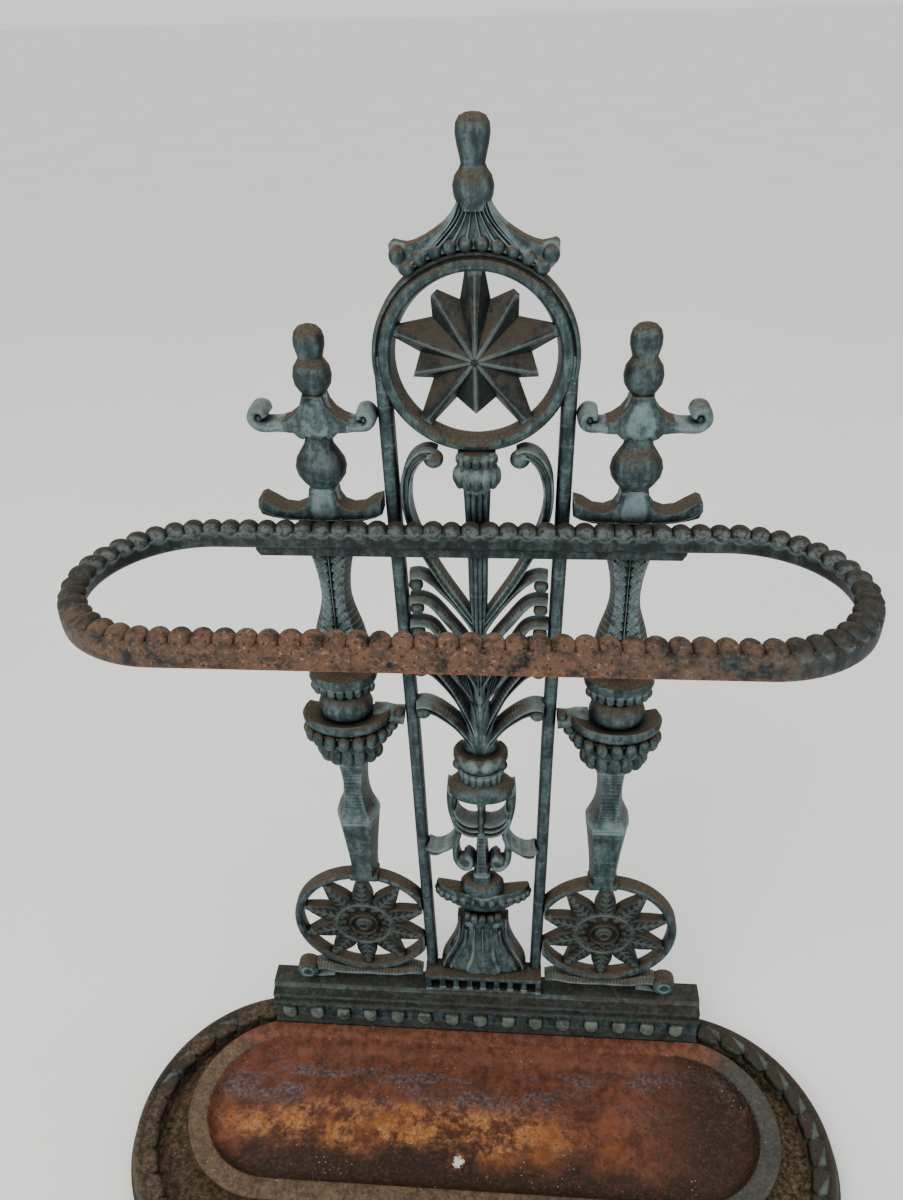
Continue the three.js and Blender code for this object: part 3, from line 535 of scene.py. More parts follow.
def panFinish():
    mat = Finish("panRust", (0.16, 0.055, 0.028))
    x, y, z = mat.where()[0]
    large = mat.noise(13, 5, 0.6)
    patch = mat.noise(55, 6, 0.68)
    fine = mat.noise(420, 5, 0.75)
    level = mat.noise(60, 5, 0.7, stretch=(0.30, 1.0, 1.0), distortion=0.6)
    mottle = mat.noise(150, 6, 0.75)
    drift = (large - 0.5) * 0.05 + (patch - 0.5) * 0.03
    color = mat.mix((mottle * 0.6 + patch * 0.4).step(0.38, 0.62), (0.062, 0.022, 0.012), (0.165, 0.056, 0.030))
    centre = 1 - ((y - 0.006 + drift * 0.6) ** 2.0 * 1700 + (x + 0.055 + drift) ** 2.0 * 46).step(0.30, 1.05)
    orange = centre * (patch * 0.7 + mottle * 0.5).step(0.53, 0.70)
    color = mat.mix(orange * 0.95, color, mat.mix(fine.step(0.4, 0.66), (0.27, 0.092, 0.026), (0.50, 0.245, 0.092)))
    ember = (1 - (y - 0.004 + drift * 0.5).math("ABSOLUTE", y - 0.004 + drift * 0.5).step(0.010, 0.032)) \
        * mat.noise(33, 5, 0.65).step(0.50, 0.66)
    color = mat.mix(ember * 0.6, color, (0.27, 0.082, 0.022))
    wet = (y + drift * 0.4).step(0.010, 0.030) * (1 - (y + drift * 0.4).step(0.046, 0.060)) * level.step(0.46, 0.62)
    color = mat.mix(wet * 0.75, color, mat.mix(fine.step(0.42, 0.62), (0.036, 0.026, 0.028), (0.165, 0.130, 0.142)))
    burnt = (1 - (y + drift * 1.1).step(-0.022, 0.000)) * (patch * 0.5 + mottle * 0.6 + 0.12).step(0.38, 0.62)
    # darker right end: painted shadow along the rim and dark rust
    rightEnd = (x + drift).step(0.115, 0.168) * (patch + 0.16).step(0.45, 0.63)
    color = mat.mix(burnt.largest(rightEnd).clamp() * 0.9, color, mat.mix(fine.step(0.45, 0.7), (0.012, 0.008, 0.005),
                                                                  (0.075, 0.038, 0.018)))
    # flange: earthy at the left, slate at the right
    rim = z.step(0.0196, 0.0214)
    earth = mat.mix((mottle * 0.5 + fine * 0.5).step(0.36, 0.66), (0.046, 0.027, 0.016), (0.165, 0.105, 0.062))
    slate = mat.mix((mottle * 0.5 + fine * 0.5).step(0.36, 0.66), (0.028, 0.027, 0.021), (0.075, 0.072, 0.058))
    flange = mat.mix((x + drift).step(0.02, 0.14), earth, slate)
    red = mat.mix(mottle.step(0.38, 0.62), (0.085, 0.030, 0.017), (0.185, 0.068, 0.038))
    flange = mat.mix((y + drift * 0.4).step(0.052, 0.064) * (1 - (x + drift).step(0.16, 0.20)), flange, red)
    color = mat.mix(rim, color, flange)
    specks = (1 - mat.cells(240).step(0.07, 0.14)) * mat.noise(45, 3, 0.5).step(0.50, 0.62)
    color = mat.mix(specks * 0.8, color, (0.46, 0.36, 0.25))
    dark = (1 - mat.cells(170).step(0.10, 0.24)) * mottle.step(0.48, 0.58)
    color = mat.mix(dark * 0.7, color, (0.018, 0.010, 0.007))
    chip = 1 - (((x + 0.013 + (mottle - 0.5) * 0.009) ** 2.0 + (y + 0.0165 + (patch - 0.5) * 0.02) ** 2.0) ** 0.5
                + (fine - 0.5) * 0.009).step(0.0030, 0.0038)
    color = mat.mix(chip * (1 - rim), color, (0.70, 0.66, 0.60))
    # painted shade: near black in the hollows
    hollow = mat.hollows(0.012)
    color = mat.mix(hollow.step(0.42, 0.95) * 0.85, color, (0.012, 0.008, 0.006))
    rough = (0.62 + (fine - 0.5) * 0.3 - wet * 0.30).clamp()
    return mat.finish(color, rough, mottle * 0.9 + fine * 0.4 + patch * 0.4, strength=0.7, distance=0.0010,
                      settings={"Specular IOR Level": 0.22})


def boltFinish():
    mat = Finish("steelDull", (0.12, 0.11, 0.10))
    coat = ironCoat(mat, (0.070, 0.066, 0.060), (0.26, 0.25, 0.235), (0.10, 0.062, 0.038), (0.018, 0.015, 0.012),
                    dusty=0.8)
    rusty = coat["grain"].step(0.52, 0.66)
    color = mat.mix(rusty * 0.7, coat["color"], (0.165, 0.070, 0.034))
    return mat.finish(color, coat["rough"], coat["height"], strength=0.4, metallic=0.6 - rusty * 0.5)


tones = {
    "teal": (0.037, 0.060, 0.064),
    "paleTeal": (0.165, 0.230, 0.235),
    "brownDust": (0.098, 0.074, 0.048),
    "nearBlack": (0.0035, 0.0050, 0.0050),
}
panelPaint = panelFinish("panelPaint", tones["teal"], tones["paleTeal"], tones["brownDust"], tones["nearBlack"])
hoopPaint = hoopFinish()
trayPaint = trayFinish()
panRust = panFinish()
steelDull = boltFinish()
print("materials ready")


# ---- finial, ring and star

crown = {
    "ringZ": 557.4, "fanBeads": 10, "beadArc": 57.2,
    "knob": [(0, 629), (7.4, 629.5), (7.7, 631.5), (9.4, 635.5), (10, 640), (8.9, 644.4), (6.6, 647.6), (5.85, 649.6),
             (6.5, 653), (7.6, 657.5), (8.35, 662.5), (8.0, 666.5), (6.3, 669.4), (3.4, 670.7), (0, 671.1)],
}


def crownFinial():
    shape = bmesh.new()
    turned(shape, crown["knob"], y=1.5, facets=28, squash=0.92)
    zc = crown["ringZ"]
    edge = [(8.0, 633.5), (9.4, 630.4), (11.8, 626.8), (15.4, 623.2), (19.6, 620.2), (24.2, 617.4), (29, 615.2),
            (33, 614.2), (36.4, 614.8), (39.6, 615.6), (41.4, 614.4), (41.2, 610.8), (38.8, 606.0), (35.6, 602.0),
            (33.4, 600.2)]
    arc = []
    for i in range(19):
        angle = math.radians(90 + 36.5 - 73 * i / 18)
        arc.append((-54.4 * math.cos(angle) * -1, zc + 54.4 * math.sin(angle)))
    outline = [(-x, z) for x, z in reversed(edge)] + edge + [(x, z) for x, z in reversed(arc)]
    plate(shape, outline, -2.6, bevel=2.2, segments=4)
    count = crown["fanBeads"]
    for i in range(count):
        angle = math.radians(90 + 35.4 * (1 - 2 * i / (count - 1)))
        r = crown["beadArc"]
        x, z = r * math.cos(angle), zc + r * math.sin(angle)
        big = 1.12 if i in (0, count - 1) else 1.0
        bead(shape, (x, -1.4, z), (3.9 * big, 4.6, 4.1 * big), fine=True)
        topX = (i - (count - 1) / 2) / 4.5 * 6.8
        stations = []
        for t, width, front in ((0, 1.7, -4.4), (0.25, 2.3, -4.8), (0.5, 3.6, -5.0), (0.75, 5.2, -4.9), (1, 6.4, -4.2)):
            stations.append((topX + (x - topX) * t ** 1.55, 633.5 - (633.5 - z) * t, width, front))
        strap(shape, stations, "ridge", steps=4)
    bead(shape, (37.0, -1.0, 609.6), (4.6, 5.2, 5.6), sides=(1, -1), fine=True)
    strap(shape, [(39.6, 613.6, 3.4, -3.6), (37.6, 606.8, 5.4, -4.4), (34.6, 602.6, 4.2, -4.0)], "ridge", steps=4,
          sides=(1, -1))
    finishPiece("crownFinial", shape, panelPaint, toPanel, ["crown_finial"])


star = {
    # (angle, radius) round the outline, tips and valleys by turns; blunt ends have two corners
    "outline": [(94.6, 49), (85.4, 49), (75, 30), (60.5, 39), (54.5, 38.2), (43, 30), (21, 45.5), (16, 46.5), (5, 29),
                (-9, 31.5), (-16.5, 34), (-27, 25), (-48, 45.2), (-56, 44.2), (-65, 24.2), (-90, 30), (-115, 24.2),
                (-124, 44.2), (-132, 45.2), (-153, 25), (-163.5, 34), (-171, 31.5), (175, 29), (164, 46.5), (159, 45.5),
                (137, 30), (125.5, 38.2), (119.5, 39), (105, 30)],
    "tips": [90, 57.5, 18, -14, -52, -90, -128, -166, 162, 122.5],
}


def starMedallion():
    shape = bmesh.new()
    zc = crown["ringZ"]
    ringInPanel(shape, [(42.2, 8), (43.2, 3.2), (43.9, .4), (45.2, -1.1), (47.4, -1.8), (49.6, -1.1), (50.9, .5),
                        (51.4, 3), (51.6, 8)], 0, zc, facets=88)
    ringInPanel(shape, [(50.6, 8), (50.6, 0.8), (51.8, -0.6), (53.0, -0.2), (53.8, 1.6), (53.9, 8)], 0, zc,
                facets=60, angle=math.pi + 0.5,
                start=-0.25)
    body = bmesh.new()
    back, rim = 6.4, 2.6
    verts = []
    for angle, radius in star["outline"]:
        a = math.radians(angle)
        verts.append(body.verts.new((radius * math.cos(a), back, zc + radius * math.sin(a))))
    face = body.faces.new(verts)
    grown = bmesh.ops.extrude_face_region(body, geom=[face])["geom"]
    top = next(item for item in grown if isinstance(item, bmesh.types.BMFace))
    bmesh.ops.translate(body, verts=top.verts, vec=(0, rim - back, 0))
    corners = list(top.verts)
    centre = bmesh.ops.poke(body, faces=[top])["verts"][0]
    centre.co = Vector((0, -6.2, zc))
    for vert in corners:
        angle = math.degrees(math.atan2(vert.co.z - zc, vert.co.x))
        radius = math.hypot(vert.co.x, vert.co.z - zc)
        away = min(abs((angle - tip + 180) % 360 - 180) for tip in star["tips"])
        vert.co.y = 1.8 if radius > 30.5 or away < 7.5 else 5.2
    closeHoles(body)
    addShape(shape, body)
    # a fine ridge along every point
    for tip in star["tips"]:
        a = math.radians(tip)
        reach = {90: 47, 18: 45, 162: 45, -52: 44, -128: 44, 57.5: 38, 122.5: 38, -14: 33, -166: 33, -90: 29.5}[tip]
        strap(shape, [(2 * math.cos(a), zc + 2 * math.sin(a), 1.3, -6.35),
                      (reach * 0.5 * math.cos(a), zc + reach * 0.5 * math.sin(a), 1.15, -2.6),
                      (reach * math.cos(a), zc + reach * math.sin(a), 0.9, 1.2)], "ridge", back=5.5, steps=3)
    finishPiece("starMedallion", shape, panelPaint, toPanel, ["star_medallion"], crease=24)


crownFinial()
starMedallion()


# ---- upright bars

bars = {"foot": 77.4, "top": 559, "line": [(77.4, 44.2), (193, 46.3), (298, 47.7), (357, 49.1), (465, 51.7), (559,
                                                                                                              53.4)],
        "width": 8.4, "front": -0.6}


def barEdge(z):
    line = bars["line"]
    for (z0, x0), (z1, x1) in zip(line, line[1:]):
        if z <= z1 or z1 == line[-1][0]:
            return x0 + (x1 - x0) * (z - z0) / (z1 - z0)
    return line[-1][1]


def uprightBars():
    for side, name in ((1, "right"), (-1, "left")):
        shape = bmesh.new()
        stations = [(barEdge(z) - bars["width"] / 2, z, bars["width"], bars["front"])
                    for z in (77.4, 130, 193, 245, 298, 357, 410, 465, 510, 540, 559)]
        strap(shape, stations, "round", steps=3, sides=(side,))
        finishPiece(name + "Bar", shape, panelPaint, toPanel, [name + "_bar"])


uprightBars()

# ---- columns and rosettes

column = {
    "x": 85.9,
    "balls": [(0, 535), (6.7, 535.5), (6.6, 539.6), (7.8, 541.2), (9.8, 544.5), (10.5, 549), (9.6, 553.8), (7.4, 557.2),
              (6.6, 558.6), (7.2, 560.8), (8.25, 565), (8.3, 568.5), (7.3, 572.2), (5.0, 574.7), (2.4, 575.6), (0,
                                                                                                                575.8)],
    "vase": [(0, 474), (8.9, 475), (7.9, 479), (7.2, 483), (8.2, 486.2), (10.8, 489), (13.4, 493), (14.4, 498),
             (13.4, 502.6), (10.4, 507.6), (8.2, 511), (7.5, 514.5), (7.7, 519), (0, 520)],
    "canopy": [(-5.6, 539.5), (5.6, 539.5), (7.2, 534.5), (10.4, 529.8), (15, 526.4), (20.5, 524.8), (25.5, 524.8),
               (29, 522.2), (24, 519.8), (16.5, 519.4), (11.8, 518.8), (9.6, 516.4), (7.2, 515.2), (4.8, 517.2),
               (2.4, 515.0), (0, 516.2), (-2.4, 515.0), (-4.8, 517.2), (-7.2, 515.2), (-9.6, 516.4), (-12, 518.8),
               (-18, 519.2), (-25, 520.4), (-26, 524.6), (-19.5, 525.0), (-14.5, 527.0), (-10.2, 530.2), (-7.2, 534.5)],
    "cornice": [(-33, 479.6), (-28, 478.0), (-22, 474.0), (-16, 473.2), (-11, 475.2), (-8.4, 479.4), (-7.4, 485.5),
                (7.4, 485.5), (8.4, 479.4), (11.5, 474.8), (17, 472.6), (23, 473.4), (29, 477.2), (34, 480.2),
                (36.8, 479.0), (37.4, 474.6), (35.6, 470.0), (30, 468.2), (22, 466.6), (10, 465.6), (-10, 465.4),
                (-22, 466.2), (-29, 468.2), (-33, 470.4)],
}


def columns():
    x = column["x"]
    for side, name in ((1, "right"), (-1, "left")):
        shape = bmesh.new()
        s = (side,)
        turned(shape, column["balls"], x, 1.5, facets=28, squash=0.9, sides=s)
        plate(shape, [(x + dx, z) for dx, z in column["canopy"]], -6.0, bevel=1.3, segments=3, sides=s)
        turned(shape, [(0, 517), (8.8, 518), (9.8, 523), (8.4, 530), (6.8, 537), (0, 538)], x, -1, facets=20,
               squash=0.62,
               sides=s)
        strap(shape, [(x + 17, 522.4, 5.6, -6.4), (x + 24, 521.6, 6.2, -6.8), (x + 30.6, 522.4, 6.4, -7.2),
                      (x + 34.0, 526.2, 6.2, -7.2), (x + 32.6, 530.8, 5.6, -7.2), (x + 28.4, 531.2, 4.8, -7.2),
                      (x + 27.0, 528.0, 4.0, -6.8)], "round", steps=6, sides=s)
        strap(shape, [(x - 17, 522.2, 5.2, -6.4), (x - 23, 521.6, 5.8, -6.6), (x - 28, 522.6, 6.0, -6.8),
                      (x - 30.0, 526.2, 5.8, -6.8), (x - 28.0, 529.8, 5.2, -6.8), (x - 24.6, 529.6, 4.6, -6.8),
                      (x - 23.8, 527.0, 3.8, -6.4)], "round", steps=6, sides=s)
        for dx, z, size in ((30.2, 527.0, 3.0), (-26.6, 526.4, 2.8)):
            bead(shape, (x + dx, -1.0, z), (size, 4.6, size), sides=s)
        turned(shape, column["vase"], x, 1.0, facets=28, squash=0.72, sides=s)
        strap(shape, [(x - 5.6, 491.4, 1.2, -7.2), (x - 2.6, 493.0, 1.5, -8.4), (x, 493.4, 1.6, -8.9),
                      (x + 2.6, 493.0, 1.5, -8.4), (x + 5.6, 491.4, 1.2, -7.2)], "ridge", sides=s)
        plate(shape, [(x + dx, z) for dx, z in column["cornice"]], -5.4, bevel=1.4, segments=3, sides=s)
        strap(shape, [(x - 32.6, 471.2, 1.8, -6.2), (x - 24, 468.0, 1.9, -6.6), (x, 466.9, 2.0, -6.8),
                      (x + 22, 468.0, 1.9, -6.6), (x + 33, 471.6, 1.8, -6.4), (x + 36.3, 476.8, 1.6, -6.2)], "ridge",
              sides=s)
        turned(shape, [(0, 467), (7.8, 468), (8.8, 473), (7.8, 480), (7.2, 486), (0, 487)], x, -1, facets=20,
               squash=0.6,
               sides=s)
        leafStem(shape, x, s)
        turned(shape, [(0, 343), (12.6, 343.6), (15.4, 346), (18.2, 350), (20.8, 353.4), (21.7, 356.4), (20.6, 359.6),
                       (15, 361.6), (0, 362)], x, 0, facets=36, squash=0.74, sides=s)
        for i in range(9):
            angle = math.radians(198 + 18 * i)
            bead(shape, (x + 18.4 * math.cos(angle), 0 + 13.6 * math.sin(angle), 350.2), (3.1, 3.0, 4.2), sides=s)
        turned(shape, [(0, 321), (8, 321.4), (13.6, 324.4), (17.1, 329.6), (17.6, 334.6), (16.0, 339.6), (13.0, 343.4),
                       (0, 344.6)], x, -0.5, facets=32, squash=0.84, sides=s)
        dish(shape, x, s)
        strap(shape, [(x, 288.8, 25.2, -6.6), (x, 284, 21.6, -7.2), (x, 275, 17.8, -7.6), (x, 262, 16.6, -8.2),
                      (x, 251, 19.2, -9.2), (x, 243, 25.4, -10.4), (x, 238.6, 28.8, -11.0), (x, 236.2, 29.2, -11.2)],
              "facet", steps=4, sides=s)
        strap(shape, [(x, 236.2, 29.2, -11.2), (x, 233.8, 29.0, -11.0), (x, 231.4, 27.9, -10.4), (x, 205, 22.2, -8.6),
                      (x, 188, 19.4, -7.4), (x, 178.5, 19.0, -7.0)], "facet", steps=1, sides=s)
        block(shape, (x - 10.4, -11.9, 234.9), (x + 10.4, -9.0, 236.9), bevel=0.7, sides=s)
        finishPiece(name + "Column", shape, panelPaint, toPanel, [name + "_column"], crease=36)


def leafStem(shape, x, s):
    half = [(372, 16.5), (380, 16.2), (391, 14.0), (403, 10.4), (414, 8.7), (428, 9.8), (441, 12.6), (452, 14.8),
            (467, 15.6)]

    def halfAt(z):
        for (z0, w0), (z1, w1) in zip(half, half[1:]):
            if z <= z1:
                return w0 + (w1 - w0) * (z - z0) / (z1 - z0)
        return half[-1][1]

    strap(shape, [(x, 361, 27, -4.0), (x, 372, 31, -4.4)] + [(x, z, 2 * w, -4.4) for z, w in half[1:]], "facet",
          steps=3, sides=s)
    strap(shape, [(x, 368, 2.6, -8.0), (x, 414, 2.1, -7.9), (x, 464, 2.6, -7.6)], "ridge", steps=6, sides=s)
    z = 366
    while z < 460:
        for lean in (1, -1):
            reach = 0.66 * halfAt(z + 7)
            strap(shape, [(x + lean * 1.5, z, 3.4, -6.9), (x + lean * reach * 0.6, z + 4.2, 4.4, -7.3),
                          (x + lean * reach, z + 8.2, 2.4, -6.2)], "ridge", back=-3.5, steps=3, sides=s)
        z += 6.2


def dish(shape, x, s):
    turned(shape, [(0, 316), (20, 317), (25.6, 319.4), (28.6, 322.8), (29.0, 326.2), (27.6, 328.4), (23.5, 327.4),
                   (14, 324.6), (0, 324)], x, 0.5, facets=40, squash=0.74, sides=s)
    turned(shape, [(0, 302), (19, 302.4), (22.6, 307), (24.6, 312), (25.4, 317), (0, 317.5)], x, 0.5, facets=36,
           squash=0.72, sides=s)
    for i in range(9):
        angle = math.radians(188 + 20.5 * i)
        bead(shape, (x + 25.4 * math.cos(angle), 0.5 + 18.6 * math.sin(angle), 313.4), (4.4, 3.8, 6.2), sides=s,
             fine=True)
    turned(shape, [(0, 284.5), (12, 285), (14.4, 290), (16.8, 296), (19.8, 302.6), (0, 303.4)], x, 0.5, facets=32,
           squash=0.72, sides=s)
    for i in range(7):
        angle = math.radians(192 + 26 * i)
        bead(shape, (x + 17.4 * math.cos(angle), 0.5 + 12.8 * math.sin(angle), 297.4), (5.0, 4.0, 7.4),
             sides=s, fine=True)
    strap(shape, [(x - 17, 324.4, 8.0, -3.6), (x - 24, 324.0, 8.4, -3.8), (x - 30, 322.4, 8.8, -4.0),
                  (x - 36.8, 321.6, 10.5, -3.8)], "round", steps=5, sides=s)
    bead(shape, (x - 28.6, -1.6, 317.4), (4.4, 4.2, 4.2), sides=s, fine=True)
    bead(shape, (x - 34.2, -1.4, 328.0), (3.4, 3.8, 3.2), sides=s, fine=True)


rosetteSize = {"x": 89.9, "z": 121.7, "petals": 10}


def rosettes():
    x, z = rosetteSize["x"], rosetteSize["z"]
    for side, name in ((1, "right"), (-1, "left")):
        shape = bmesh.new()
        s = (side,)
        ringInPanel(shape, [(47.2, 8), (46.9, 2.2), (47.5, .2), (49.2, -1.3), (51.2, -1.6), (52.8, -0.8), (53.6, 1.2),
                            (53.7, 8)], x, z, facets=88, sides=s)
        for i in range(rosetteSize["petals"]):
            turn = math.radians(90 + 36 * i)
            petal = bmesh.new()
            half = [(16, 5.4), (21, 7.0), (26, 8.1), (31, 7.5), (36, 5.9), (41, 3.9), (45, 2.2), (47.8, 1.0)]
            outline = half + [(r, -w) for r, w in reversed(half)]
            verts = [petal.verts.new((x + r * math.cos(turn) - w * math.sin(turn), 6.5,
                                      z + r * math.sin(turn) + w * math.cos(turn))) for r, w in outline]
            face = petal.faces.new(verts)
            grown = bmesh.ops.extrude_face_region(petal, geom=[face])["geom"]
            top = next(item for item in grown if isinstance(item, bmesh.types.BMFace))
            bmesh.ops.translate(petal, verts=top.verts, vec=(0, -6.4, 0))
            bmesh.ops.inset_region(petal, faces=[top], thickness=1.1, depth=0.0)
            for vert in top.verts:
                vert.co.y -= 1.2
            closeHoles(petal)
            addShape(shape, petal, sides=s)
            # herringbone leaf cuts on both sides of a fine rib
            cos, sin = math.cos(turn), math.sin(turn)
            strap(shape, [(x + 17 * cos, z + 17 * sin, 1.6, -2.0), (x + 34 * cos, z + 34 * sin, 1.3, -1.9),
                          (x + 46.5 * cos, z + 46.5 * sin, 0.9, -0.2)], "ridge", back=3, steps=2, sides=s)
            for k in range(5):
                r = 20 + 5.0 * k
                for lean in (1, -1):
                    w = lean * (5.0, 5.6, 4.6, 3.0, 1.6)[k]
                    a, b = (r * cos - lean * 0.6 * sin, r * sin + lean * 0.6 * cos), \
                        ((r + 4) * cos - w * sin, (r + 4) * sin + w * cos)
                    strap(shape, [(x + a[0], z + a[1], 1.9, -1.5), (x + b[0], z + b[1], 1.3, -0.9)], "ridge", back=2,
                          steps=1, sides=s)
        ringInPanel(shape, [(0.4, 7), (0.4, 0.6), (21.4, 0.6), (21.6, 7)], x, z, facets=40, sides=s)
        for radius, width, front in ((20.6, 1.7, -2.4), (10.2, 1.5, -2.8)):
            ringInPanel(shape, [(radius - width, 2), (radius - width * 0.7, front + 0.9), (radius, front),
                                (radius + width * 0.7, front + 0.9), (radius + width, 2)], x, z, facets=48, sides=s)
        for i in range(12):
            angle = math.radians(30 * i)
            bead(shape, (x + 15.4 * math.cos(angle), 0.2, z + 15.4 * math.sin(angle)), (2.9, 2.4, 2.9), sides=s)
        bead(shape, (x, 0.4, z), (6.6, 3.6, 6.6), sides=s, fine=True)
        ringInPanel(shape, [(2.2, 2), (2.4, -3.4), (3.4, -4.2), (4.6, -3.6), (5.2, 1)], x, z, facets=24, sides=s)
        block(shape, (x - 14.5, -5.6, 172.5), (x + 6.5, 8, 180.0), bevel=1.4, sides=s)
        leafSaddle(shape, x, s)
        # room for the bar that stands in front of the ring's inner edge
        trimByBar(shape, side)
        finishPiece(name + "Rosette", shape, panelPaint, toPanel, [name + "_rosette"], crease=30)


def leafSaddle(shape, x, s):
    low = 63.2
    plate(shape, [(x - 30, low), (x + 33, low), (x + 27, 70), (x + 16, 71), (x, 70), (x - 16, 71), (x - 27, 70)], 1.5,
          bevel=1.2, sides=s)
    strap(shape, [(x + 42, low + 4.4, 7.0, -3.4), (x + 34, low + 6.6, 8.4, -4.4), (x + 24, low + 4.0, 6.6, -4.6),
                  (x + 12, low + 3.0, 5.0, -4.2), (x, low + 2.6, 4.0, -3.6)], "ridge", back=7.5, sides=s)
    strap(shape, [(x - 42, low + 3.6, 5.0, -3.0), (x - 34, low + 5.6, 6.6, -4.0), (x - 24, low + 3.8, 6.0, -4.4),
                  (x - 12, low + 3.0, 5.0, -4.2), (x, low + 2.6, 4.0, -3.6)], "ridge", back=7.5, sides=s)


def trimByBar(shape, side):
    slope = (barEdge(193) - barEdge(77.4)) / (193 - 77.4)
    at = (side * (barEdge(121.7) + 0.2), 0, 121.7)
    geom = shape.verts[:] + shape.edges[:] + shape.faces[:]
    bmesh.ops.bisect_plane(shape, geom=geom, dist=0.0005, plane_co=at, plane_no=(-side, 0, slope),
                           clear_outer=True)
    closeHoles(shape)
    bmesh.ops.recalc_face_normals(shape, faces=shape.faces)


columns()
rosettes()


# ---- centre ornament, from the torch down to the pedestal

def torchPiece():
    shape = bmesh.new()
    turned(shape, [(0, 416), (5.6, 416), (5.9, 442), (6.9, 467), (7.6, 485), (0, 486)], 0, 0, facets=48, squash=0.85,
           flutes=10, fluteDepth=0.24)
    turned(shape, [(0, 484), (7.4, 484.6), (10.2, 488.6), (12.2, 493.4), (12.4, 496.4), (10.8, 499.6), (9.4, 501),
                   (10.4, 504.5), (10.4, 507), (0, 507.4)], 0, 0, facets=36, squash=0.85)
    for i in range(7):
        angle = math.radians(180 + 30 * i)
        bead(shape, (10.4 * math.cos(angle), 9 * math.sin(angle), 492.8), (3.1, 3.0, 6.0), fine=True)
    for i in range(7):
        angle = math.radians(180 + 30 * i)
        bead(shape, (9.0 * math.cos(angle), 7.8 * math.sin(angle), 502.6), (2.7, 2.7, 3.7), fine=True)
    for i in range(3):
        bead(shape, ((i - 1) * 4.4, -5.4, 487.6), (2.0, 2.2, 4.4))
    both = (1, -1)
    strap(shape, [(22.0, 505.4, 4.4, -4.6), (26.6, 506.6, 5.4, -4.8), (31.8, 504.0, 6.4, -4.6),
                  (35.8, 498.6, 6.6, -4.4), (38.4, 491.4, 6.4, -4.2), (39.4, 483.4, 5.8, -4.0),
                  (39.2, 474.4, 5.4, -4.0), (37.6, 465.6, 5.2, -4.0), (34.2, 455.0, 5.0, -4.0),
                  (29.0, 442.0, 4.8, -4.0), (20.0, 425.0, 4.6, -3.8), (10.0, 409.0, 4.3, -3.6),
                  (3.0, 398.0, 3.6, -3.4)], "channel", steps=5, sides=both)
    bead(shape, (23.4, -0.8, 502.9), (5.6, 5.0, 5.4), sides=both, fine=True)
    strap(shape, [(27.4, 505.4, 1.3, -5.6), (33.6, 500.4, 1.5, -5.6), (37.4, 492.0, 1.4, -5.2),
                  (38.6, 480.0, 1.2, -4.8)], "ridge", steps=5, sides=both)
    finishPiece("torch", shape, panelPaint, toPanel, ["torch"], crease=40)


def palmettePiece():
    shape = bmesh.new()
    both = (1, -1)
    turned(shape, [(0, 300), (3.4, 300), (4.4, 380), (5.6, 418), (0, 418.6)], 0, 0, facets=48, squash=0.95, flutes=10,
           fluteDepth=0.24)
    # leaves from the top pair down, each nearer to the front: (foot height, tip x, tip height, front)
    leaves = [(385, 38.6, 426.5, -3.2), (366, 39.2, 410.0, -3.5), (346, 39.6, 393.4, -3.8), (331, 39.6, 379.0, -4.1)]
    for foot, tipX, tipZ, front in leaves:
        strap(shape, [(0.6, foot - 2, 2.6, front - 1.2), (3.6, foot + 7, 4.2, front - 1.0),
                      (9.6, foot + 18, 5.4, front - 0.6), (18.0, foot + 29.5, 5.8, front),
                      (27.0, tipZ - 2.6, 5.6, front), (34.2, tipZ + 1.4, 5.2, front), (tipX + 1.6, tipZ + 0.8, 4.8,
                                                                                       front)],
              "ridge", steps=6, sides=both)
        bead(shape, (36.6, -0.8, tipZ - 3.4), (4.4, 4.2, 4.2), sides=both, fine=True)
        strap(shape, [(1.2, foot + 4, 1.2, front - 1.9), (6.6, foot + 14, 1.3, front - 1.7),
                      (14.6, foot + 24.4, 1.3, front - 1.1), (25.6, tipZ - 4.6, 1.3, front - 0.6)], "ridge", steps=5,
              sides=both)
    for foot, tipX, tipZ, front, width in ((304, 40.0, 366.5, -4.4, 6.0), (296, 39.4, 333.0, -4.8, 6.2)):
        rise = tipZ - foot
        strap(shape, [(0.8, foot - 3, 4.0, front - 1.4), (3.8, foot + rise * 0.18, 6.0, front - 1.3),
                      (9.4, foot + rise * 0.42, width + 0.6, front - 1.0), (17.6, foot + rise * 0.70, width,
                                                                            front - 0.5),
                      (27.6, foot + rise * 0.93, width - 0.2, front), (35.0, tipZ + 0.6, width - 0.6, front),
                      (tipX + 0.8, tipZ - 0.4, width - 1.0, front)], "ridge", steps=6, sides=both)
        bead(shape, (36.4, -0.6, tipZ - 5.0), (5.2, 4.8, 4.8), sides=both, fine=True)
        strap(shape, [(2.6, foot + rise * 0.02, 1.5, front - 2.3), (7.6, foot + rise * 0.28, 1.6, front - 2.1),
                      (16.0, foot + rise * 0.60, 1.6, front - 1.5), (27.0, foot + rise * 0.84, 1.5, front - 0.8),
                      (33.0, foot + rise * 0.91, 1.3, front - 0.6)], "ridge", steps=5, sides=both)
    for k in range(3):
        strap(shape, [(1.0 + k, 312 + 11 * k, 1.1, -6.4 + 0.4 * k), (4.4 + k * 1.2, 336 + 9 * k, 1.2, -5.6 + 0.4 * k),
                      (11 + k * 1.4, 358 + 8 * k, 1.2, -4.6 + 0.3 * k)], "ridge", steps=4, sides=both)
    turned(shape, [(0, 289.5), (8.4, 289.8), (12.0, 300), (9.0, 318), (5.2, 345), (0, 346)], 0, 0.5, facets=24,
           squash=0.62)
    finishPiece("palmette", shape, panelPaint, toPanel, ["palmette"], crease=34)


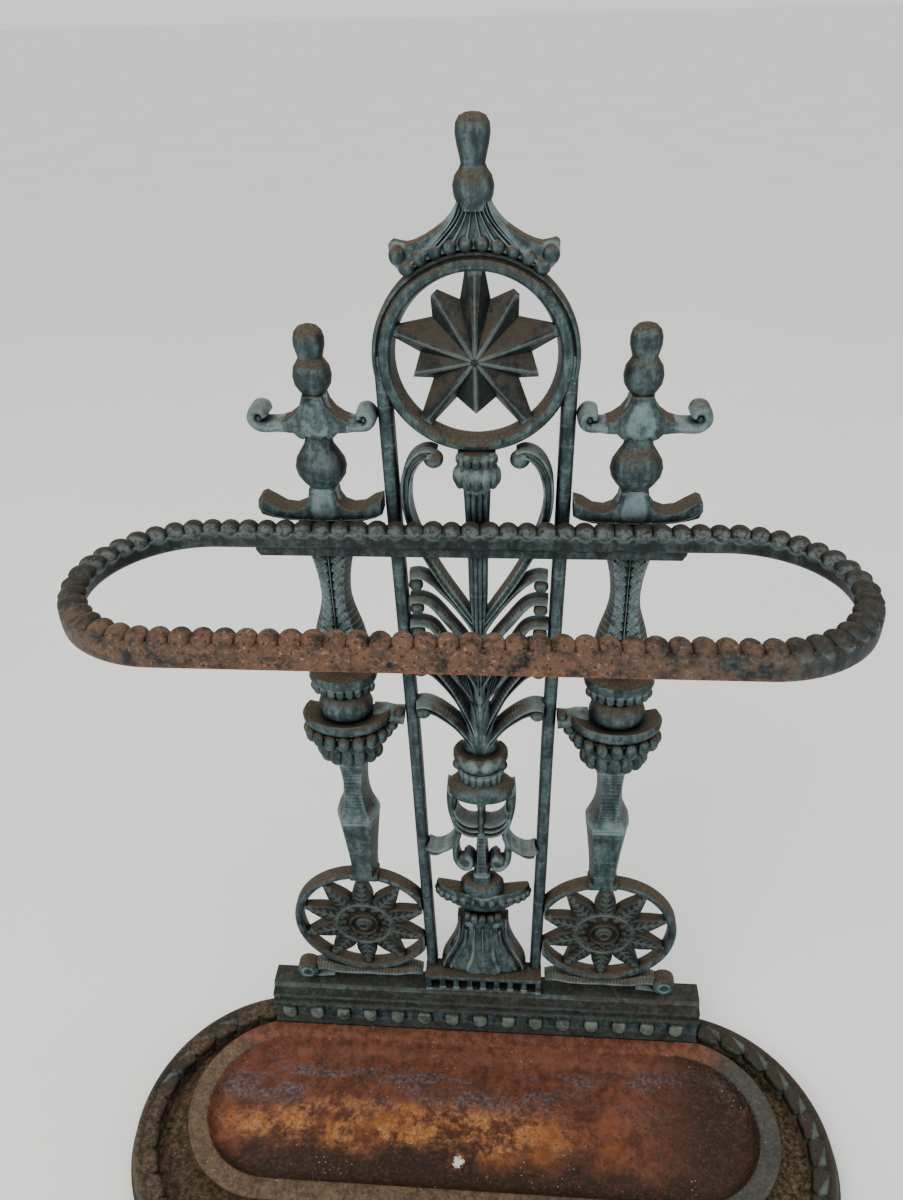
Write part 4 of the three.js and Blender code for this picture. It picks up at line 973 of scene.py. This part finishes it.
def urnPiece():
    shape = bmesh.new()
    both = (1, -1)
    turned(shape, [(0, 283.5), (13.6, 284), (16.4, 287.4), (18.1, 292.4), (18.0, 296.2), (16.2, 298.4), (12, 297.2),
                   (0, 296)], 0, 0, facets=36, squash=0.84)
    turned(shape, [(0, 271), (11.2, 271.4), (13.4, 276), (14.6, 284), (0, 284.4)], 0, 0, facets=32, squash=0.84)
    for x in (-13.4, -4.8, 4.8, 13.4):
        bead(shape, (x, -11.0 * (1 - (x / 19) ** 2) ** 0.5 - 1.6, 292.6), (4.6, 3.4, 4.6), fine=True)
    for i in range(9):
        angle = math.radians(186 + 21 * i)
        bead(shape, (13.2 * math.cos(angle), 11.0 * math.sin(angle), 278.0), (2.5, 2.4, 5.4), fine=True)
    turned(shape, [(0, 257), (15, 257.2), (21.4, 259.6), (23.3, 263.4), (22.4, 267.6), (18.6, 271.6), (13.0, 275.4),
                   (0, 276.4)], 0, 0.5, facets=40, squash=0.62)
    # brow and nose between the two almond openings
    strap(shape, [(0, 266, 26, -8.4), (0, 259.5, 19, -8.4), (0, 254.5, 9, -7.8), (0, 247, 5.8, -7.4),
                  (0, 234, 5.6, -7.2), (0, 222, 5.6, -6.6)], "round", steps=4)
    strap(shape, [(17.2, 265, 12.0, -5.4), (20.6, 255, 6.2, -5.2), (20.4, 244, 5.4, -5.0), (18.0, 233, 5.6, -4.8),
                  (16.2, 224, 5.4, -4.6), (17.4, 216, 5.4, -4.6), (21.6, 209.6, 5.6, -4.6), (27.6, 205.4, 6.2, -4.6),
                  (33.6, 204.6, 6.6, -4.6), (38.6, 207.4, 6.2, -4.4)], "round", steps=5, sides=both)
    strap(shape, [(20.0, 214.6, 1.6, -5.8), (25.4, 207.0, 1.8, -6.0), (32, 202.8, 1.9, -6.0), (37.0, 203.4, 1.8, -5.8)],
          "ridge", steps=5, sides=both)
    for drop, width in ((0, 3.6), (5.2, 3.0), (9.8, 2.8)):
        strap(shape, [(18.6, 245.5 - drop, width, -5.0), (16.4, 238.6 - drop, width, -5.6),
                      (12.0, 234.0 - drop, width, -6.0), (6.8, 232.0 - drop, width, -6.2),
                      (2.0, 232.4 - drop, width, -6.2)], "round", steps=5, sides=both)
    plate(shape, [(-15, 232), (-8, 228), (0, 229), (8, 228), (15, 232), (13, 221.5), (8, 218.8), (0, 218.6),
                  (-8, 218.8), (-13, 221.5)], -2.4, bevel=1.0)
    strap(shape, [(0, 226, 6.4, -6.4), (0, 212, 7.4, -6.2), (0, 198, 9.0, -6.2), (0, 185, 10.6, -6.4)], "facet",
          steps=4)
    block(shape, (-5.9, -7.6, 176.5), (5.9, 7.5, 186.5), bevel=0.8)
    block(shape, (-4.6, -8.4, 184.6), (4.6, -5, 186.2), bevel=0.3)
    strap(shape, [(17.4, 214, 4.0, -3.4), (18.6, 203, 5.0, -3.8), (17.4, 193.6, 5.6, -4.2), (12.6, 188.0, 5.8, -4.4),
                  (8.0, 189.6, 5.2, -4.4), (7.6, 195.4, 5.2, -4.0), (11.4, 199.2, 5.0, -3.6)], "round", steps=6,
          sides=both)
    bead(shape, (12.2, 0.4, 194.6), (6.0, 4.8, 6.6), sides=both, fine=True)
    finishPiece("urn", shape, panelPaint, toPanel, ["urn"], crease=40)


def pedestalPiece():
    shape = bmesh.new()
    turned(shape, [(0, 77.4), (27.2, 77.4), (27.4, 79.4), (25.2, 86), (21.4, 95), (18.0, 105), (15.8, 115), (15.0, 124),
                   (15.6, 132), (0, 133)], 0, 2.0, facets=72, squash=0.38, flutes=10, fluteDepth=0.16)
    for side in (1, -1):
        strap(shape, [(side * 30.4, 78.6, 4.6, -3.6), (side * 28.4, 87, 5.4, -4.0), (side * 24.6, 96, 5.6, -4.0),
                      (side * 20.4, 106, 5.2, -3.8), (side * 17.4, 118, 4.6, -3.6), (side * 16.8, 134, 4.2, -3.4)],
              "ridge", steps=4)
        plate(shape, [(side * 4, 77.4), (side * 31, 77.4), (side * 28, 88), (side * 22, 102), (side * 17, 118),
                      (side * 15, 134), (side * 4, 134)], -1.0, bevel=0.6)
    for x, top in ((0, 126), (6.2, 126), (-6.2, 126)):
        lean = 1 + abs(x) * 0.05
        strap(shape, [(x * 1.5 * lean, 79, 5.2, -7.6), (x * 1.2, 95, 3.8, -6.4), (x, 112, 3.2, -6.0), (x, top, 3.2,
                                                                                                       -6.2)],
              "ridge", steps=5)
    strap(shape, [(24.5, 78.5, 5.4, -4.2), (21.4, 88, 6.4, -4.6), (16.6, 100, 6.0, -4.8), (13.2, 112, 4.6, -5.2),
                  (12.4, 124, 4.0, -5.4)], "round", steps=5, sides=(1, -1))
    cup = [(0, 132.5), (9, 133.4), (15.6, 137.6), (23, 144.4), (29.6, 151.4), (33.6, 158), (34.3, 162.4), (33.2, 165.4),
           (28, 165.0), (16, 162.6), (0, 162)]
    turned(shape, cup, 0, 6.5, facets=56, squash=0.43)
    for i in range(15):
        angle = math.radians(180 + 12.86 * i)
        bead(shape, (32.6 * math.cos(angle), 6.5 + 14.2 * math.sin(angle), 157.4), (3.1, 2.6, 4.0), fine=True)
    for i in range(5):
        angle = math.radians(222 + 24 * i)
        bead(shape, (14.6 * math.cos(angle), 3 + 8.4 * math.sin(angle), 136.6), (3.6, 3.2, 5.2), fine=True)
    turned(shape, [(0, 160), (10.5, 160.6), (14.2, 163.6), (16.1, 168.4), (15.6, 173.0), (12.4, 177.0), (7.0, 178.6),
                   (0, 179)], 0, 0, facets=36, squash=0.62)
    finishPiece("pedestal", shape, panelPaint, toPanel, ["pedestal"], crease=40)


torchPiece()
palmettePiece()
urnPiece()
pedestalPiece()


# ---- plinth, pedestal block and scrolls

plinthSize = {
    "half": 166.6, "studs": 15, "studStep": 21.76, "firstStud": -154.8,
    "profile": [(8, 14.4), (8, 56.6), (-5.4, 56.7), (-7.2, 56.0), (-8.2, 54.2), (-8.8, 52.4), (-10.6, 51.2), (-14.4,
                                                                                                              50.0),
                (-15.2, 48.8), (-14.8, 47.4), (-13.6, 46.4), (-13.8, 45.2), (-16.4, 44.4), (-17.4, 43.0), (-17.2, 41.2),
                (-15.6, 40.0), (-14.0, 38.4), (-13.2, 36.2), (-13.0, 26.2), (-13.6, 24.0), (-15.2, 22.4), (-17.6, 21.4),
                (-18.0, 20.4), (-18.0, 14.4)],
}


def plinthPiece():
    shape = bmesh.new()
    body = bmesh.new()
    half = plinthSize["half"]
    face = body.faces.new([body.verts.new((-half, y, z)) for y, z in plinthSize["profile"]])
    grown = bmesh.ops.extrude_face_region(body, geom=[face])["geom"]
    end = next(item for item in grown if isinstance(item, bmesh.types.BMFace))
    bmesh.ops.translate(body, verts=end.verts, vec=(2 * half, 0, 0))
    closeHoles(body)
    bmesh.ops.bevel(body, geom=[edge for edge in body.edges if abs(edge.verts[0].co.x - edge.verts[1].co.x) < 1],
                    offset=1.2, affect='EDGES', segments=2, profile=0.5, material=-1, clamp_overlap=True)
    addShape(shape, body)
    for i in range(plinthSize["studs"]):
        x = plinthSize["firstStud"] + plinthSize["studStep"] * i
        stud = bmesh.new()
        bmesh.ops.create_cube(stud, size=1)
        place = Matrix.Translation((x + random.uniform(-.5, .5), -13.2,
                                    30.6)) @ Matrix.Rotation(random.uniform(-.08, .08), 4, "Y")
        bmesh.ops.transform(stud, matrix=place @ Matrix.Diagonal((11.2, 7.6, 11.6, 1)), verts=stud.verts)
        bmesh.ops.bevel(stud, geom=stud.edges[:], offset=3.0, affect='EDGES', segments=3, profile=0.5, material=-1)
        addShape(shape, stud)
        for z in (24.6, 37.0):
            bead(shape, (x, -13.4, z), (5.2, 3.2, 2.4))
    finishPiece("plinth", shape, panelPaint, toPanel, ["plinth"], crease=28)


def pedestalBlock():
    shape = bmesh.new()
    block(shape, (-44.6, -11.4, 72.8), (44.6, 6, 76.9), bevel=1.0)
    block(shape, (-44.6, -9.6, 57.4), (44.6, 6, 60.6), bevel=0.7)
    block(shape, (-43.6, -2.6, 58), (43.6, 6, 75), bevel=0.3)
    for side in (1, -1):
        block(shape, (side * 42.2 - 1.9, -9.4, 58), (side * 42.2 + 1.9, 6, 75), bevel=0.6)
    for i in range(7):
        x = (i - 3) * 10.5
        block(shape, (x - 2.1, -9.0, 59.6), (x + 2.1, -2, 73.2), bevel=0.8)
        block(shape, (x - 2.9, -9.2, 70.4), (x + 2.9, -2, 73.0), bevel=0.7)
        block(shape, (x - 2.7, -9.2, 60.2), (x + 2.7, -2, 62.4), bevel=0.7)
    finishPiece("pedestalBlock", shape, panelPaint, toPanel, ["pedestal_block"], crease=30)


def plinthScrolls():
    for side, name in ((1, "right"), (-1, "left")):
        shape = bmesh.new()
        s = (side,)
        x, z = 138.6, 65.8
        roll = bmesh.new()
        bmesh.ops.create_cone(roll, cap_ends=True, cap_tris=False, segments=32, radius1=8.6, radius2=8.6, depth=11.6)
        place = Matrix.Translation((x, 1.6, z)) @ Matrix.Rotation(math.pi / 2, 4, "X")
        bmesh.ops.transform(roll, matrix=place, verts=roll.verts)
        bmesh.ops.bevel(roll, geom=[edge for edge in roll.edges if abs(edge.verts[0].co.y - edge.verts[1].co.y) < .1],
                        offset=1.4, affect='EDGES', segments=3, profile=0.5, material=-1)
        addShape(shape, roll, sides=s)
        ringInPanel(shape, [(3.0, -3), (3.4, -4.9), (4.4, -5.2), (5.2, -4.8), (5.6, -3)], x, z, facets=24, sides=s)
        strap(shape, [(x - 5, z - 5.2, 5, -3.4), (x - 12, z - 4.4, 6.4, -4.0), (x - 18, z - 3.2, 7.4, -4.2),
                      (x - 21, z - 3.4, 7.0, -3.8)], "ridge", back=7.5, sides=s)
        cutFlat(shape, (0, 0, 57.0), (0, 0, -1))
        bmesh.ops.recalc_face_normals(shape, faces=shape.faces)
        finishPiece(name + "PlinthScroll", shape, panelPaint, toPanel, [name + "_plinth_scroll"], crease=35)


plinthPiece()
pedestalBlock()
plinthScrolls()


# ---- holder hoop

hoop = {
    "straight": 142, "y": -68.8, "shift": -5.0, "beads": 88, "beadRadius": 54.9, "beadHeight": 465.9,
    "profile": [(53.2, 454.6), (51.9, 455.8), (51.0, 457.4), (50.2, 463.0), (49.4, 464.2), (49.6, 465.4), (51.4, 466.2),
                (56.0, 466.4), (60.4, 466.0), (61.8, 465.4), (62.5, 464.2), (62.5, 457), (62.3, 454.6), (61.4, 453.6),
                (58.2, 453.5)],
}


def holderHoop():
    shape = bmesh.new()
    ovalSweep(shape, hoop["profile"], hoop["straight"], hoop["y"], steps=40, runs=30)
    for x, y, angle in alongOval(hoop["straight"], hoop["beadRadius"], hoop["y"], hoop["beads"]):
        wobble = 1 + random.uniform(-0.05, 0.05)
        bead(shape, (x, y, hoop["beadHeight"]), (7.4, 5.9 * wobble, 4.7 * wobble),
             turn=Matrix.Rotation(angle + 0.20, 4, "Z") @ Matrix.Rotation(0.08, 4, "Y"), fine=True)
    plate(shape, [(-119.0, 446.7), (119.0, 446.7), (121.4, 450.4), (121.4, 456.2), (-121.4, 456.2), (-121.4, 450.4)],
          -11.2, back=-6.4, bevel=0.8)
    bmesh.ops.translate(shape, verts=shape.verts, vec=(hoop["shift"], 0, 0))
    return finishPiece("holderHoop", shape, hoopPaint, toPanel, ["holder_hoop"], crease=38)


# ---- base tray and drip pan

tray = {
    "straight": 147.3,
    "rim": [(86.6, 4.4), (86.6, 12), (87.4, 17.4), (89.4, 20.6), (92.8, 21.8), (95.6, 22.0), (96.8, 23.6), (98.4, 24.6),
            (100.4, 23.8), (102.4, 20.4), (103.9, 15.6), (105.2, 10.8), (106.4, 8.8), (106.7, 6.0), (106.6, 2.0),
            (106.0, 0.3), (101.9, 0.3), (101.8, 4.4)],
    "lobes": 60, "lobeRadius": 91.6,
}


def baseTray():
    shape = bmesh.new()
    ovalSweep(shape, tray["rim"], tray["straight"], 0, steps=44, runs=30)
    ovalDisc(shape, tray["straight"], 87.2, 4.4, 7.9, 0, steps=44)
    for x, y, angle in alongOval(tray["straight"], tray["lobeRadius"], 0, tray["lobes"]):
        if y > 76 and abs(x) < 172:
            continue
        lobe = bmesh.new()
        bmesh.ops.create_cube(lobe, size=1)
        bmesh.ops.transform(lobe, matrix=Matrix.Diagonal((12.2, 18.6, 9.6, 1)), verts=lobe.verts)
        bmesh.ops.bevel(lobe, geom=lobe.edges[:], offset=3.4, affect='EDGES', segments=3, profile=0.5, material=-1)
        place = Matrix.Translation((x, y, 18.6)) @ Matrix.Rotation(angle, 4, "Z") @ Matrix.Rotation(0.17, 4, "X") \
            @ Matrix.Rotation(0.10, 4, "Y")
        addShape(shape, lobe, place=place)
    low, high = plinthLow / mm, plinthHigh / mm
    block(shape, (low.x + 1, low.y + 1, 7), (high.x - 1, high.y - 1, 13.9), bevel=0.5)
    shape = clearForPlinth(shape, low, high)
    return finishPiece("baseTray", shape, trayPaint, toFloor, ["base_tray"], crease=34)


def clearForPlinth(shape, low, high):
    # the rim is cut away where the plinth stands: split along three planes and drop what is inside
    gap = 0.4
    for at, normal in (((low.x - gap, 0, 0), (1, 0, 0)), ((high.x + gap, 0, 0), (1, 0, 0)),
                       ((0, low.y - gap, 0), (0, 1, 0)), ((0, 0, 14.0), (0, 0, 1))):
        geom = shape.verts[:] + shape.edges[:] + shape.faces[:]
        bmesh.ops.bisect_plane(shape, geom=geom, dist=0.0005, plane_co=at, plane_no=normal)
    inside = []
    for face in shape.faces:
        c = face.calc_center_median()
        if low.x - gap < c.x < high.x + gap and c.y > low.y - gap and c.z > 14.0:
            inside.append(face)
    bmesh.ops.delete(shape, geom=inside, context="FACES")
    closeHoles(shape)
    bmesh.ops.recalc_face_normals(shape, faces=shape.faces)
    return shape


pan = {
    "straight": 147, "y": 12.5, "plinthGap": 1.6,
    "profile": [(43.2, 10.9), (46.6, 11.3), (49.6, 13.0), (51.8, 16.0), (53.2, 19.4), (54.4, 21.4), (56.0, 22.0),
                (66.6, 22.0), (68.0, 21.6), (68.4, 20.8), (68.0, 19.8), (57.6, 19.6), (56.0, 18.2), (54.4, 14.0),
                (51.6, 10.4), (47.4, 8.6), (43.2, 8.4)],
}


def dripPan():
    shape = bmesh.new()
    ovalSweep(shape, pan["profile"], pan["straight"], pan["y"], steps=48, runs=40)
    ovalDisc(shape, pan["straight"], 43.6, 8.4, 10.9, pan["y"], steps=48)
    cutFlat(shape, (0, plinthLow.y / mm - pan["plinthGap"], 0), (0, 1, 0))
    bmesh.ops.recalc_face_normals(shape, faces=shape.faces)
    return finishPiece("dripPan", shape, panRust, toFloor, ["drip_pan"], body="drip_pan", crease=34)


holderHoop()
baseTray()
dripPan()

# ---- studio

studio = {"sky": (0.945, 0.96, 0.95), "floor": (0.90, 0.91, 0.885), "glow": 1.06}


def makeStage():
    mat = Finish("paleFloor", studio["floor"])
    soft = mat.noise(3, 3, 0.5)
    color = mat.mix(soft.step(0.3, 0.7), studio["floor"], tuple(c * 0.97 for c in studio["floor"]))
    floorPaint = mat.finish(color, 0.75, soft, strength=0.02)
    mesh = bpy.data.meshes.new("floor")
    shape = bmesh.new()
    bmesh.ops.create_grid(shape, x_segments=1, y_segments=1, size=60)
    shape.to_mesh(mesh)
    shape.free()
    floor = bpy.data.objects.new("floor", mesh)
    floor.location.z = -0.0005
    mesh.materials.append(floorPaint)
    bpy.context.scene.collection.objects.link(floor)
    world = bpy.data.worlds.new("studio")
    world.use_nodes = True
    background = world.node_tree.nodes["Background"]
    background.inputs[0].default_value = (*studio["sky"], 1)
    background.inputs[1].default_value = studio["glow"]
    bpy.context.scene.world = world
    lights = {
        "key": {"at": (-0.9, -1.3, 2.0), "size": 1.3, "power": 24, "color": (1.0, 0.98, 0.95)},
        "fill": {"at": (1.5, -1.0, 1.2), "size": 1.8, "power": 2, "color": (0.95, 0.98, 1.0)},
        "top": {"at": (0.1, 0.4, 2.3), "size": 1.2, "power": 9, "color": (1.0, 1.0, 1.0)},
    }
    for name, light in lights.items():
        lamp = bpy.data.lights.new(name, "AREA")
        lamp.shape = "DISK"
        lamp.size = light["size"]
        lamp.energy = light["power"]
        lamp.color = light["color"]
        holder = bpy.data.objects.new(name, lamp)
        holder.location = light["at"]
        holder.rotation_euler = (Vector((0, 0, 0.3)) - Vector(light["at"])).to_track_quat("-Z", "Y").to_euler()
        bpy.context.scene.collection.objects.link(holder)


view = {"at": (0.0276, -0.383, 0.713), "lens": 28.75, "pitch": 31.98, "yaw": 5.20, "roll": 1.78}


def makeCamera():
    pitch, yaw, roll = (math.radians(view[key]) for key in ("pitch", "yaw", "roll"))
    ahead = Vector((-math.sin(yaw) * math.cos(pitch), math.cos(yaw) * math.cos(pitch), -math.sin(pitch)))
    right0 = Vector((math.cos(yaw), math.sin(yaw), 0))
    down0 = ahead.cross(right0)
    right = math.cos(roll) * right0 + math.sin(roll) * down0
    down = -math.sin(roll) * right0 + math.cos(roll) * down0
    place = Matrix.Identity(4)
    for column, value in enumerate((right, -down, -ahead, Vector(view["at"]))):
        for row in range(3):
            place[row][column] = value[row]
    data = bpy.data.cameras.new("camera")
    data.lens = view["lens"]
    data.sensor_width = 36
    camera = bpy.data.objects.new("camera", data)
    camera.matrix_world = place
    bpy.context.scene.collection.objects.link(camera)
    bpy.context.scene.camera = camera


makeStage()
makeCamera()

for name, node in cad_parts.items():
    node.data.materials.clear()
    small = any(part in name for part in ("screw", "washer", "bolt"))
    node.data.materials.append(steelDull if small else panelPaint)
